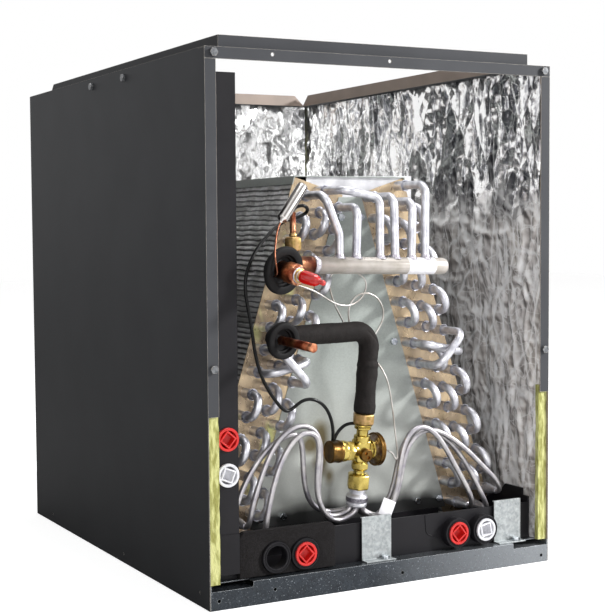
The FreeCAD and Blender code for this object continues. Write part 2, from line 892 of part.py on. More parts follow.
def feeder_tubes():
    """The tubes that bring gas from the top of each column down into the header."""
    left, right = header_line()
    saddle = Part.makeCylinder(float(size.header_radius) + 0.1, left.distanceToPoint(right), left, right - left)
    feeders = []
    for side, column, foot_x in FEEDERS:
        start = tube_place(side, column_tubes(side, column)[0], column, size.sheet_face)
        share = (foot_x - left.x) / (right.x - left.x)
        foot = left + (right - left) * share
        if side < 0 and column == 2:
            turn = point(start.x, size.header_depth, start.z)
            knee = point(foot_x, size.header_depth, foot.z + FEEDER_KNEE_RISE)
            corners = [start, turn, knee, foot]
        elif side < 0 and column == 1:
            first = point(start.x, size.header_depth, start.z)
            second = point(foot_x, size.header_depth, start.z - FEEDER_SLOPE_DROP)
            corners = [start, first, second, foot]
        else:
            turn = point(start.x, size.header_depth, start.z)
            corners = [start, turn, foot]
        rod = tube(rounded(corners, FEEDER_BEND, 3), size.tube_radius, 8)
        feeders.append(rod.cut(saddle))
    feature_from("feeder_tubes", Part.makeCompound(feeders))


def suction_axis():
    """Where the suction elbow turns, and the way its stub points."""
    left, right = header_line()
    slope = (left.z - right.z) / (right.x - left.x)
    corner_z = left.z + slope * (left.x - float(size.elbow_x))
    corner = point(size.elbow_x, size.header_depth, corner_z)
    return corner, heading(size.stub_pan, size.stub_tilt)


def suction_stub():
    """The copper elbow from the header to the spun end outside the panel."""
    left, _ = header_line()
    corner, forward = suction_axis()
    spun_start = float(size.stub_length) - float(size.stub_spun_length)
    pipe = round_tube([left, corner, corner + forward * (spun_start + 2)], float(size.header_radius),
                      [float(size.elbow_radius)])
    spun = Part.makeCylinder(float(size.stub_spun_radius), float(size.stub_spun_length),
                             corner + forward * spun_start, forward)
    feature_from("suction_stub", pipe.fuse(spun).removeSplitter())


def suction_end():
    """The service core, the cap over it and the grommet behind."""
    corner, forward = suction_axis()
    end = corner + forward * float(size.stub_length)
    core = size.core_radius
    turned("suction_core", [
        (0, 0), (core * 1.5, 0), (core * 1.5, size.core_length * 0.3), (core, size.core_length * 0.45),
        (core, size.core_length), (0, size.core_length),
    ], set_along(end, forward))
    cap = size.cap_radius
    body_length = size.cap_length - size.core_length
    turned("suction_cap", [
        (0, 0), (cap * 0.9, 0), (cap, body_length * 0.08), (cap * 0.97, body_length * 0.5),
        (cap * 0.78, body_length * 0.68), (cap * 0.42, body_length * 0.76), (cap * 0.46, body_length * 0.9),
        (cap * 0.3, body_length), (0, body_length),
    ], set_along(end + forward * float(size.core_length), forward))
    grommet("suction_grommet", corner + forward * float(size.suction_grommet_place), forward,
            size.suction_grommet_radius, size.header_radius, capillary_slit())


def capillary_slit():
    """Where the capillary passes through the suction grommet, low on its left."""
    corner, forward = suction_axis()
    centre = corner + forward * float(size.suction_grommet_place)
    across = Vector(0, 0, 1).cross(forward).normalize()
    upward = forward.cross(across)
    return centre + across * SLIT_RIGHT + upward * SLIT_UP


# The slit's place on the grommet, from the pipe's centre.
SLIT_RIGHT = -11.5
SLIT_UP = -8.0


def grommet(label, centre, forward, radius, bore, slit=None):
    """A rubber panel grommet with a stepped well round the pipe."""
    half = size.grommet_thickness / 2
    inner = bore + size.grommet_clearance
    place = set_along(centre, forward)

    def pierce(body):
        local = place.inverse().multVec(slit + Vector(0, -float(half_depth), 0))
        hole = sketch_on(body, "XY_Plane")
        circle(hole, local.x, local.y, size.capillary_radius + 0.4)
        pocket(body, hole)

    turned(label, [
        (inner, -half), (radius * 0.8, -half), (radius * 0.8, -half * 0.2), (radius, 0), (radius, half * 0.7),
        (radius * 0.93, half), (radius * 0.68, half), (radius * 0.62, -half * 0.25), (inner + 2, -half * 0.25),
        (inner, -half * 0.1),
    ], place, pierce if slit else None)


# Liquid side


def liquid_corners():
    """The liquid line's path from its closed end to the valve's inlet nut."""
    turn = point(size.line_turn_x, size.line_depth, size.line_height)
    forward = heading(size.line_pan, size.line_tilt)
    end = turn + forward * float(size.line_stub_length)
    drop = point(size.line_drop_x, size.line_depth, size.line_drop_height)
    return [end, turn, drop, valve_spot(-1)]


def liquid_line():
    """The copper line, its closed stub outside and its foam sleeve inside."""
    corners = liquid_corners()
    bends = [float(size.line_elbow_radius), float(size.line_bend_radius)]
    forward = heading(size.line_pan, size.line_tilt)
    rod = round_tube(corners, float(size.line_radius), bends)
    end = Part.makeCylinder(float(size.line_end_radius), float(size.line_free_length), corners[0], -forward)
    feature_from("liquid_line", rod.fuse(end).removeSplitter())
    turn = corners[1]
    upward = (corners[2] - corners[3]).normalize()
    sleeve_corners = [turn + forward * float(size.foam_start), turn, corners[2], corners[3] + upward * 5]
    outside = round_tube(sleeve_corners, float(size.foam_radius), bends)
    bore = round_tube(sleeve_corners, float(size.line_radius) + 0.2, bends)
    seam = corners[3] + upward * (float(size.foam_seam_height) - corners[3].z)
    ring = Part.makeCylinder(float(size.foam_radius) + 0.9, 5, seam, upward)
    sleeve = outside.fuse(ring).cut(bore)
    feature_from("liquid_line_foam", sleeve)
    grommet("liquid_grommet", turn + forward * float(size.liquid_grommet_place), forward,
            size.liquid_grommet_radius, size.line_radius)


# Expansion valve


def valve_direction():
    """The valve's axis, pointing down from its inlet nut."""
    back = math.tan(math.radians(float(size.valve_lean_back)))
    across = math.tan(math.radians(float(size.valve_lean_side)))
    return Vector(across, back, -1).normalize()


def valve_spot(distance):
    """A point on the valve's axis, counted down from the top of its inlet nut."""
    return point(size.valve_x, size.valve_depth, size.valve_top) + valve_direction() * float(distance)


def valve_frame(distance):
    """The valve's own frame: Z down along its axis, X to the right, Y to the front."""
    down = valve_direction()
    right = (Vector(1, 0, 0) - down * down.x).normalize()
    front = down.cross(right)
    lifted = valve_spot(distance) + Vector(0, -float(half_depth), 0)
    turn = FreeCAD.Rotation(right, front, down, "ZXY")
    return FreeCAD.Placement(lifted, turn)


def hex_piece(label, distance, flats, length, collar):
    """A hexagonal nut on the valve's axis with a turned collar below it."""
    body = doc.addObject("PartDesign::Body", label)
    body.Label = label
    outline = sketch_on(body, "XY_Plane")
    hexagon(outline, flats)
    pad(body, outline, length - collar)
    ring = sketch_on(body, "XY_Plane", length - collar)
    circle(ring, 0, 0, flats * 0.44)
    pad(body, ring, collar)
    body.Placement = valve_frame(distance)
    return body


body_start = size.inlet_nut_length + size.valve_neck_length
body_middle = body_start + size.valve_body_length / 2
hex_start = body_start + size.valve_body_length
outlet_start = hex_start + size.valve_hex_length
distributor_start = outlet_start + size.outlet_nut_length
tubes_start = distributor_start + size.distributor_length


def valve_body():
    """The brass forging: neck, block, two side arms, a front boss and the outlet hexagon."""
    body = doc.addObject("PartDesign::Body", "expansion_valve")
    body.Label = "expansion_valve"
    neck = sketch_on(body, "XZ_Plane")
    radius = size.valve_neck_radius
    top = size.inlet_nut_length
    polygon(neck, [
        (0, top), (radius * 1.25, top), (radius * 1.25, top + 4), (radius, top + 6), (radius, body_start - 3),
        (size.valve_body_width / 2, body_start), (size.valve_body_width / 2, hex_start - 2), (radius, hex_start),
        (0, hex_start),
    ])
    feature = body.newObject("PartDesign::Revolution", "Neck")
    feature.Profile = neck
    feature.ReferenceAxis = (neck, ["V_Axis"])
    feature.Angle = WHOLE_TURN
    doc.recompute()
    arm = sketch_on(body, "YZ_Plane", -size.valve_left_arm)
    circle(arm, 0, body_middle, size.valve_arm_radius)
    pad(body, arm, size.valve_left_arm + size.valve_right_arm)
    boss = sketch_on(body, "XZ_Plane", -(size.valve_body_width / 2 + 4))
    circle(boss, 0, body_middle + 3, size.valve_neck_radius)
    pad(body, boss, size.valve_body_width / 2 + 4)
    outlet = sketch_on(body, "XY_Plane", hex_start)
    hexagon(outlet, size.valve_hex_flats)
    pad(body, outlet, size.valve_hex_length)
    body.Placement = valve_frame(0)
    return body


def side_turned(label, rings, across):
    """A turned piece on the valve's cross axis, drawn outward from the arm's end."""
    frame = valve_frame(body_middle)
    direction = frame.Rotation.multVec(Vector(math.copysign(1, across), 0, 0))
    spot = frame.multVec(Vector(across, 0, 0))
    place = FreeCAD.Placement(spot, FreeCAD.Rotation(Vector(0, 0, 1), direction))
    return turned(label, rings, place)


def valve():
    """The expansion valve with its nuts, head, cap and distributor."""
    hex_piece("inlet_nut", 0, size.inlet_nut_flats, size.inlet_nut_length, as_size(3))
    valve_body()
    cap = size.stem_cap_radius
    length = size.stem_cap_length
    side_turned("stem_cap", [
        (0, 0), (cap * 0.9, 0), (cap, length * 0.15), (cap, length * 0.75), (cap * 0.8, length), (0, length),
    ], -float(size.valve_left_arm))
    head = size.head_radius
    thick = size.head_thickness
    side_turned("diaphragm_head", [
        (0, 0), (head * 0.55, 0), (head * 0.93, thick * 0.3), (head, thick * 0.38), (head, thick * 0.6),
        (head * 0.93, thick * 0.68), (head * 0.5, thick), (0, thick),
    ], float(size.valve_right_arm))
    hex_piece("outlet_nut", outlet_start, size.outlet_nut_flats, size.outlet_nut_length, as_size(2))
    radius = size.distributor_radius
    tall = size.distributor_length
    turned("distributor", [
        (0, 0), (radius * 0.8, 0), (radius * 0.78, tall * 0.25), (radius * 0.98, tall * 0.4), (radius, tall * 0.55),
        (radius, tall * 0.85), (radius * 0.9, tall), (0, tall),
    ], valve_frame(distributor_start))


# Bottom tubes: the route of each distributor tube, from the distributor to its column.
DISTRIBUTOR_ROUTES = {
    (-1, 0): [(-44.6, 38, 66.7), (-64.9, 32, 77.9), (-79.2, 27, 103.6), (-78.2, 24, 137.2), (-75.5, 23.5, 159.0),
              (-80.8, 23.5, 171.6), (-93.3, 23.5, 174.6), (-105.8, 23.5, 169.8), (-118.3, 23.5, 155.0),
              (-128.3, 23.5, 136.3), (-137.6, 25, 104.3), (-142.5, 27, 70.2)],
    (-1, 1): [(-54.9, 44.8, 70.1), (-73.1, 36, 96.5), (-71.4, 31, 130.3), (-69.7, 30.5, 156.5), (-76.0, 31, 173.9),
              (-89.8, 31, 181.5), (-106.1, 31, 179.4), (-123.5, 31, 167.6), (-137.2, 31, 147.0),
              (-149.7, 31, 115.6), (-156.4, 32, 94.3)],
    (-1, 2): [(-57.8, 51.5, 76.0), (-81.3, 45, 95.8), (-88.5, 39, 130.4), (-89.4, 37.2, 158.5), (-96.5, 37.2, 172.5),
              (-112.8, 37.2, 170.2), (-137.6, 37.2, 154.9), (-156.1, 37.2, 131.5), (-170.4, 37, 105.6)],
    (1, 0): [(9.7, 34.5, 62.7), (23.4, 30, 81.2), (27.6, 25, 110.4), (29.9, 23.2, 139.0), (38.7, 23.2, 161.1),
             (52.4, 23.2, 170.3), (68.9, 23.2, 168.0), (86.4, 23.2, 150.7), (104.4, 23.2, 121.0),
             (117.8, 24, 100.5), (131.6, 27, 80.1)],
    (1, 1): [(9.2, 48.6, 61.5), (26.0, 45, 79.5), (33.3, 40.5, 108.2), (37.0, 37.8, 136.7), (47.0, 37.8, 155.1),
             (62.1, 37.8, 164.3), (81.2, 37.8, 163.1), (109.1, 37.8, 146.9), (131.9, 37.8, 118.3),
             (147.9, 37, 89.8)],
    (1, 2): [(14.0, 41.3, 64.1), (30.1, 36.5, 82.1), (36.1, 32, 111.2), (39.5, 30.4, 138.3), (50.5, 30.4, 156.0),
             (67.4, 30.4, 165.0), (88.3, 30.4, 161.9), (121.4, 30.4, 142.0), (157.2, 31, 108.2),
             (173.1, 32, 94.8)],
}
# Where each tube leaves the distributor's foot, in degrees round from its right side.
DISTRIBUTOR_PORTS = {(-1, 0): 120, (-1, 1): 180, (-1, 2): 240, (1, 0): 60, (1, 1): -60, (1, 2): 0}
DISTRIBUTOR_CIRCLE = 7.6
ADAPTOR_LENGTH = 22.0


def adaptor_tip(side, column):
    """The narrow front end of a column's adaptor."""
    last = tube_place(side, column_tubes(side, column)[-1], column, size.sheet_face)
    return last, last - Vector(0, float(size.bell_depth) + ADAPTOR_LENGTH, 0)


def bottom_tubes():
    """The reducers on the lowest tubes and the thin tubes that feed them."""
    adaptors = []
    tubes = []
    down = valve_direction()
    frame = valve_frame(tubes_start)
    for (side, column), route in DISTRIBUTOR_ROUTES.items():
        last, tip = adaptor_tip(side, column)
        bell = last - Vector(0, float(size.bell_depth), 0)
        cylinder = Part.makeCylinder(float(size.tube_radius) + 0.9, float(size.bell_depth), bell, Vector(0, 1, 0))
        cone = Part.makeCone(float(size.distributor_tube_radius) + 0.8, float(size.tube_radius), ADAPTOR_LENGTH, tip,
                             Vector(0, 1, 0))
        adaptors.append(cylinder.fuse(cone).removeSplitter())
        angle = math.radians(DISTRIBUTOR_PORTS[side, column])
        local = Vector(DISTRIBUTOR_CIRCLE * math.cos(angle), DISTRIBUTOR_CIRCLE * math.sin(angle), 0)
        start = frame.multVec(local) + Vector(0, float(half_depth), 0)
        corners = [start, start + down * 7] + [point(*spot) for spot in route] + [tip - Vector(0, 7, 0), tip]
        tubes.append(tube(corners, size.distributor_tube_radius, 6))
    feature_from("coil_adaptors", Part.makeCompound(adaptors))
    feature_from("distributor_tubes", Part.makeCompound(tubes))


# Sensing bulb and small tubes
BULB_FOOT = (-134.7, 0.0, 404.1)
BULB_TOP = (-101.0, 11.0, 442.7)
EQUALISER_ROUTE = [
    (-107.5, 24, 417.0), (-100.0, 21, 421.0), (-91.5, 22, 419.5), (-86.5, 27, 414.0), (-92.0, 32, 409.0),
    (-105.0, 33, 406.0), (-119.5, 30, 402.0), (-135.0, 26, 391.0), (-150.7, 22, 377.8), (-164.0, 16, 361.0),
    (-171.0, 14, 345.0), (-171.5, 13, 328.0), (-167.8, 13, 310.0), (-164.0, 13, 291.2), (-161.5, 13, 266.9),
    (-152.0, 15, 236.9), (-136.3, 19, 215.6), (-123.1, 23, 201.8), (-115.3, 25, 198.0), (-107.2, 26, 201.5),
    (-98.0, 27, 208.0), (-86.4, 27, 211.0), (-71.9, 27, 207.1), (-60.4, 27, 197.9), (-54.6, 28, 186.4),
    (-53.4, 31, 174.4), (-50.0, 36, 168.5), (-42.0, 41, 171.0),
]
CAPILLARY_LEAD = [(-146.5, -9.0, 385.5), (-151.5, -15.0, 368.0), (-149.5, -16.0, 355.0)]
CAPILLARY_ROUTE = [
    (-115.0, 19.0, 331.0), (-97.0, 17.0, 330.0), (-84.0, 17.0, 334.0), (-73.0, 20.0, 336.0), (-62.0, 26.0, 328.0),
    (-50.0, 32.0, 334.0), (-40.5, 35.0, 345.0), (-28.0, 36.0, 349.2),
    (-14.0, 36.0, 342.0), (-7.0, 36.0, 326.3), (-14.0, 36.0, 312.0), (-27.0, 37.0, 304.0), (-41.0, 38.5, 304.0),
    (-52.0, 41.0, 311.0), (-50.0, 43.0, 320.0), (-36.0, 44.0, 327.0), (-16.0, 44.0, 328.0), (3.0, 43.0, 320.0),
    (15.0, 42.0, 303.0), (17.0, 44.0, 283.0), (11.0, 49.0, 266.0), (9.0, 52.0, 253.0), (16.0, 49.0, 238.0),
    (27.7, 42.0, 211.2), (35.7, 39.0, 170.0), (38.5, 37.5, 152.0),
]


def bulb_and_capillary():
    """The sensing bulb and the capillary that joins it to the valve's head."""
    foot = point(*BULB_FOOT)
    axis = (point(*BULB_TOP) - foot).normalize()
    radius = size.bulb_radius
    length = size.bulb_length
    turned("sensing_bulb", [
        (0, 0), (radius * 0.75, 0), (radius, 3), (radius, length - 2), (radius * 0.7, length), (0, length),
    ], set_along(foot, axis))
    head = valve_frame(body_middle).multVec(Vector(float(size.valve_right_arm + size.head_thickness), 0, 0))
    head = head + Vector(0, float(half_depth), 0)
    outward = valve_frame(0).Rotation.multVec(Vector(1, 0, 0))
    _, forward = suction_axis()
    slit = capillary_slit()
    route = [foot - axis * 0.3, foot - axis * 8] + [point(*spot) for spot in CAPILLARY_LEAD]
    route += [slit + forward * 9, slit - forward * 14]
    route += [point(*spot) for spot in CAPILLARY_ROUTE] + [head + outward * 8, head + outward * 0.3]
    feature_from("capillary", tube(route, size.capillary_radius, 4))


def equaliser():
    """The flare fitting on the suction elbow and the equaliser tube to the valve."""
    corner, _ = suction_axis()
    foot = point(size.port_x, size.header_depth, corner.z)
    nut_base = point(size.port_x, size.header_depth, size.port_nut_height)
    upward = Vector(0, 0, 1)
    reach = 2 * float(size.port_x - size.elbow_x)
    joint = Part.makeCylinder(float(size.header_radius) + 0.1, reach, point(size.elbow_x, size.header_depth, corner.z),
                              Vector(1, 0, 0))
    stem = Part.makeCylinder(float(size.port_tube_radius) + 1.5, nut_base.z - foot.z, foot, upward).cut(joint)
    nut = doc.addObject("PartDesign::Body", "flare_nut")
    nut.Label = "flare_nut"
    outline = sketch_on(nut, "XY_Plane")
    hexagon(outline, size.port_nut_flats)
    pad(nut, outline, size.port_nut_length)
    nut.Placement = set_along(nut_base, upward)
    feature_from("port_stem", stem)
    top = point(size.port_x, size.header_depth, size.port_tube_top)
    nut_top = nut_base + upward * float(size.port_nut_length)
    feature_from("port_tube", Part.makeCylinder(float(size.port_tube_radius), top.z - nut_top.z, nut_top, upward))
    side_port = valve_frame(body_start + 6).multVec(Vector(0, -float(size.valve_body_width) / 2, 0))
    side_port = side_port + Vector(0, float(half_depth), 0)
    route = [top] + [point(*spot) for spot in EQUALISER_ROUTE]
    route = route + [side_port + Vector(-16, 12, 0), side_port + Vector(0, 9, 0), side_port + Vector(0, 0.3, 0)]
    feature_from("equaliser_tube", tube(route, size.equaliser_radius, 6))


# Drain pans


def drain_pan():
    """The moulded pan: outer trough, central air opening, ribs under the slabs and four drain ports."""
    body = new_body("drain_pan")
    wall = size.pan_wall
    floor_top = size.base_height + wall
    inner_half = size.pan_opening_half_width
    front_inner = size.sheet_face - size.gauge - wall
    rear_inner = rear_sheet + size.gauge + wall
    outline = sketch_on(body, "XY_Plane", size.base_height)
    rectangle(outline, -pan_half_width, pan_half_width, size.pan_front, pan_back)
    pad(body, outline, size.pan_rim - size.base_height)
    trough = sketch_on(body, "XY_Plane", size.pan_rim)
    rectangle(trough, -pan_half_width + wall, pan_half_width - wall, size.pan_front + wall, pan_back - wall)
    rectangle(trough, -inner_half - wall, inner_half + wall, front_inner, rear_inner)
    pocket(body, trough, size.pan_rim - floor_top)
    lowered = sketch_on(body, "XY_Plane", size.pan_rim)
    rectangle(lowered, -inner_half - wall - 1, inner_half + wall + 1, front_inner - 1, rear_inner + 1)
    pocket(body, lowered, size.pan_rim - size.pan_opening_rim)
    opening = sketch_on(body, "XY_Plane")
    rectangle(opening, -inner_half, inner_half, front_inner + wall, rear_inner - wall)
    pocket(body, opening)
    low_x, low_z = slab_edge(column_inner, slab_bottom)
    rise = math.tan(lean)
    rib_in = float(inner_half + wall) - 0.5
    rib_out = float(pan_half_width - wall) + 0.5
    span = rear_sheet - size.sheet_face
    for side in (-1, 1):
        for share in (0.0, 0.5, 1.0):
            start = size.sheet_face + (span - size.rib_thickness) * share
            rib = front_sketch(body, start)
            weep = rib_in + 20
            polygon(rib, [
                (rib_in * side, floor_top), (as_size(weep) * side, floor_top),
                (as_size(weep) * side, floor_top + size.rib_weep_height),
                ((weep + size.rib_weep_width) * side, floor_top + size.rib_weep_height),
                ((weep + size.rib_weep_width) * side, floor_top), (rib_out * side, floor_top),
                (rib_out * side, low_z + (rib_out - low_x) * rise),
                (rib_in * side, low_z + (rib_in - low_x) * rise),
            ])
            pad_back(body, rib, size.rib_thickness)
    block = front_sketch(body, size.pan_block_front)
    rectangle(block, -pan_half_width, -pan_half_width + size.pan_block_width, size.pan_block_bottom,
              size.side_pan_bottom)
    pad_back(body, block, size.pan_front - size.pan_block_front + wall)
    left_wall = sketch_on(body, "YZ_Plane", -pan_half_width)
    rectangle(left_wall, size.pan_front, pan_back, size.pan_rim - 1, size.side_pan_bottom)
    pad(body, left_wall, wall)
    right_wall = sketch_on(body, "YZ_Plane", pan_half_width - wall)
    polygon(right_wall, [
        (size.pan_front, size.pan_rim - 1), (pan_back, size.pan_rim - 1), (pan_back, size.side_pan_bottom),
        (size.pan_post_back + 8, size.side_pan_bottom), (size.pan_post_back, size.pan_post_height),
        (size.pan_post_front, size.pan_post_height), (size.pan_post_front, size.side_pan_bottom),
        (size.pan_front, size.side_pan_bottom),
    ])
    pad(body, right_wall, wall)
    ports = [size.left_open_port, size.left_plugged_port, size.right_plugged_port, size.right_white_port]
    bosses = front_sketch(body, size.port_face)
    for x in ports:
        circle(bosses, x, size.port_height, size.port_boss_radius)
    pad_back(body, bosses, size.pan_front - size.port_face + wall)
    bores = front_sketch(body, size.port_face)
    for x in ports:
        circle(bores, x, size.port_height, size.port_bore_radius)
    pocket(body, bores, size.pan_front - size.port_face + wall + 1)
    return body


def foam_block():
    """The foam seal round the left pair of drain ports."""
    body = new_body("port_foam_block")
    front = size.pan_front - size.foam_block_thickness
    block = front_sketch(body, front)
    bottom = size.base_height + 1
    top = bottom + size.foam_block_height
    bevel = 5
    left = -pan_half_width + size.pan_block_width
    polygon(block, [
        (left, bottom), (size.foam_block_right, bottom), (size.foam_block_right, top - bevel),
        (size.foam_block_right - bevel, top), (left + bevel, top), (left, top - bevel),
    ])
    for x in (size.left_open_port, size.left_plugged_port):
        circle(block, x, size.port_height, size.port_boss_radius + size.plug_clearance)
    pad_back(body, block, size.foam_block_thickness)
    return body


def side_pan():
    """The upright tray on the left that catches water when the cabinet lies on its side."""
    body = new_body("side_drain_pan")
    wall = size.pan_wall
    back_face = -pan_half_width
    tip = back_face + size.pan_block_width
    tray = front_sketch(body, size.side_pan_front)
    rectangle(tray, back_face, tip, size.side_pan_bottom, size.side_pan_top)
    pad_back(body, tray, pan_back - size.side_pan_front)
    hollow = front_sketch(body, size.side_pan_front + wall)
    polygon(hollow, [
        (back_face + wall, size.side_pan_bottom + wall), (back_face + size.side_pan_lip, size.side_pan_bottom + wall),
        (back_face + size.side_pan_lip, size.side_pan_bottom - 1), (tip + 1, size.side_pan_bottom - 1),
        (tip + 1, size.side_pan_top - wall), (back_face + wall, size.side_pan_top - wall),
    ])
    pocket(body, hollow, pan_back - size.side_pan_front - wall * 2)
    middle = back_face + size.pan_block_width / 2
    seat = front_sketch(body, size.side_pan_front)
    for height in (size.side_pan_red_port, size.side_pan_white_port):
        circle(seat, middle, height, size.pan_block_width / 2 - 2.5)
    pocket(body, seat, wall + 1)
    return body


def plug(centre, radius):
    """A threaded drain plug with a square recess and two finger slots."""
    front = Vector(0, -1, 0)
    head = Part.makeCylinder(float(radius), float(size.plug_head), centre, front)
    barrel_radius = float(radius) - 3.2
    barrel = Part.makeCylinder(barrel_radius, float(size.plug_depth), centre, Vector(0, 1, 0))
    side = float(radius) * 0.62
    recess = Part.makeBox(side, float(size.plug_head) + 3, side, Vector(-side / 2, -float(size.plug_head), -side / 2))
    recess.rotate(Vector(0, 0, 0), Vector(0, 1, 0), 45)
    recess.translate(centre)
    return head.fuse(barrel).cut(recess).removeSplitter()


def plugs():
    """Red and white plugs in the drain ports of both pans."""
    bore = size.port_bore_radius - size.plug_clearance
    side_x = -pan_half_width + size.pan_block_width / 2
    red = [
        plug(point(size.left_plugged_port, size.port_face, size.port_height), bore + 1),
        plug(point(size.right_plugged_port, size.port_face, size.port_height), bore + 1),
        plug(point(side_x, size.side_pan_front, size.side_pan_red_port), bore + 0.5),
    ]
    white = [
        plug(point(size.right_white_port, size.port_face, size.port_height), bore + 1),
        plug(point(side_x, size.side_pan_front, size.side_pan_white_port), bore + 0.5),
    ]
    feature_from("red_drain_plugs", Part.makeCompound(red))
    feature_from("white_drain_plugs", Part.makeCompound(white))


# Brackets and screws


def bracket(label, x):
    """A folded clip that holds the pan down on the base."""
    body = new_body(label)
    section = sketch_on(body, "YZ_Plane", x - size.bracket_width / 2)
    front = size.bracket_front
    thick = size.bracket_gauge
    polygon(section, [
        (front - size.bracket_foot, size.base_height), (front + thick, size.base_height),
        (front + thick, size.bracket_top - thick), (size.pan_front, size.bracket_top - thick),
        (size.pan_front, size.bracket_top), (front, size.bracket_top), (front, size.base_height + thick),
        (front - size.bracket_foot, size.base_height + thick),
    ])
    pad(body, section, size.bracket_width)
    return body


def screw(spot, outward):
    """A hexagon-headed sheet screw's head, seated on a face."""
    radius = float(size.screw_flats) / math.sqrt(3)
    helper = Vector(0, 0, 1) if abs(outward.z) < 0.9 else Vector(1, 0, 0)
    across = outward.cross(helper).normalize()
    upward = outward.cross(across).normalize()
    corners = []
    for step in range(7):
        angle = math.radians(60 * step)
        corners.append(spot + across * (radius * math.cos(angle)) + upward * (radius * math.sin(angle)))
    return Part.Face(Part.makePolygon(corners)).extrude(outward * float(size.screw_head))


SCREW_INSET = 9.5
STILE_SCREW_HEIGHT = 251.8
STILE_SCREW_INSET = 6.8
PANEL_SCREW_DEPTHS = (214.8, 318.0)
SCREW_DROP = 10.0
BRACKET_SCREW_SHIFT = 8.5
DELTA_SCREWS = [(13.4, 408.0), (58.0, 262.7), (91.5, 71.0), (121.7, 71.0)]


def screws():
    """The screws of the cabinet and those of the coil."""
    front = Vector(0, -1, 0)
    up = Vector(0, 0, 1)
    casing = []
    coil = []
    for side in (-1, 1):
        outward = Vector(side, 0, 0)
        rail_height = size.cabinet_height - size.rail_drop / 2
        casing.append(screw(point((half_width - SCREW_INSET) * side, 0, rail_height), front))
        casing.append(screw(point((half_width - STILE_SCREW_INSET) * side, 0, STILE_SCREW_HEIGHT), front))
        for depth in PANEL_SCREW_DEPTHS:
            casing.append(screw(point(half_width * side, depth, size.cabinet_height - SCREW_DROP), outward))
        for x, height in DELTA_SCREWS:
            coil.append(screw(point(x * side, size.sheet_face - size.gauge, height), front))
    foot_depth = size.bracket_front - size.bracket_foot / 2
    for x in (size.centre_bracket_x, size.right_bracket_x):
        coil.append(screw(point(x + BRACKET_SCREW_SHIFT, foot_depth, size.base_height + size.bracket_gauge), up))
    feature_from("cabinet_screws", Part.makeCompound(casing))
    feature_from("coil_screws", Part.makeCompound(coil))


cabinet()
slabs()
delta_plate("front_delta_plate", size.sheet_face - size.gauge)
delta_plate("rear_delta_plate", rear_sheet)
apex_cover()
suction_header()
feeder_tubes()
suction_stub()
suction_end()
liquid_line()
valve()
bottom_tubes()
bulb_and_capillary()
equaliser()
drain_pan()
foam_block()
side_pan()
plugs()
bracket("centre_bracket", size.centre_bracket_x)
bracket("right_bracket", size.right_bracket_x)
screws()
doc.recompute()

# Every piece is checked before any is written.
pieces = [item for item in doc.Objects if item.TypeId in ("PartDesign::Body", "Part::Feature")]
for item in doc.Objects:
    if "Invalid" in item.State or "Error" in item.State:
        raise RuntimeError(f"{item.Name} failed: {item.State}")
for piece in pieces:
    if piece.Shape.isNull() or not piece.Shape.isValid():
        raise RuntimeError(f"{piece.Label} has no valid shape")
    if not piece.Shape.Solids:
        raise RuntimeError(f"{piece.Label} has no solid")
for piece in pieces:
    piece.Shape.exportStep(f"parts/{piece.Label}.step")
print(len(pieces), "pieces,", round(sum(piece.Shape.Volume for piece in pieces) / 1e6, 3), "litres")
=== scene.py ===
import math

import bpy
from mathutils import Matrix, Vector, noise


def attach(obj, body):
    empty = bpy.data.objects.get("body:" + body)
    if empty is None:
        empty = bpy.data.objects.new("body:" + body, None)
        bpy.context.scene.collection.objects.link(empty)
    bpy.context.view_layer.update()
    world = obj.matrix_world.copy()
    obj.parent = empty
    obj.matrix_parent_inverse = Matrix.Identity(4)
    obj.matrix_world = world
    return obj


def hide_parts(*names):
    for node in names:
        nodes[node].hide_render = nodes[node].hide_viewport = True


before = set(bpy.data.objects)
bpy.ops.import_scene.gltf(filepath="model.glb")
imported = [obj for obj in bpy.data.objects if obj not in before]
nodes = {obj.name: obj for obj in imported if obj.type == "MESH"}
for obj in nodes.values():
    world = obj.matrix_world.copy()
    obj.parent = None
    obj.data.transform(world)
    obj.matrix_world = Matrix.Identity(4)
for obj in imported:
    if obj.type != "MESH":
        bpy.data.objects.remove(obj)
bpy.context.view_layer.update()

bl_info = {
    "name": "Cased evaporator coil",
    "version": (1, 0, 0),
    "blender": (4, 5, 0),
    "location": "3D View > Sidebar > Coil",
    "description": "Dresses a packed cased evaporator coil with its finished pieces and materials",
    "category": "Object",
}

# Half of the cabinet's depth, in millimetres
HALF_DEPTH = 279.4


def linear(code):
    """Turn an sRGB hex colour into linear red, green and blue."""
    parts = [int(code[i:i + 2], 16) / 255 for i in (1, 3, 5)]
    return tuple(c / 12.92 if c <= 0.04045 else ((c + 0.055) / 1.055) ** 2.4 for c in parts)


def spot(x, depth, z):
    """A point from millimetres: x from the middle, depth behind the front face, z up."""
    return Vector((x / 1000, (depth - HALF_DEPTH) / 1000, z / 1000))


# What a user may change


def colour_property(title, code, says):
    return bpy.props.FloatVectorProperty(name=title, description=says, subtype="COLOR", size=3, min=0, max=1,
                                         default=linear(code))


def length_property(title, millimetres, says):
    return bpy.props.FloatProperty(name=title, description=says, subtype="DISTANCE", unit="LENGTH", min=0,
                                   default=millimetres / 1000)


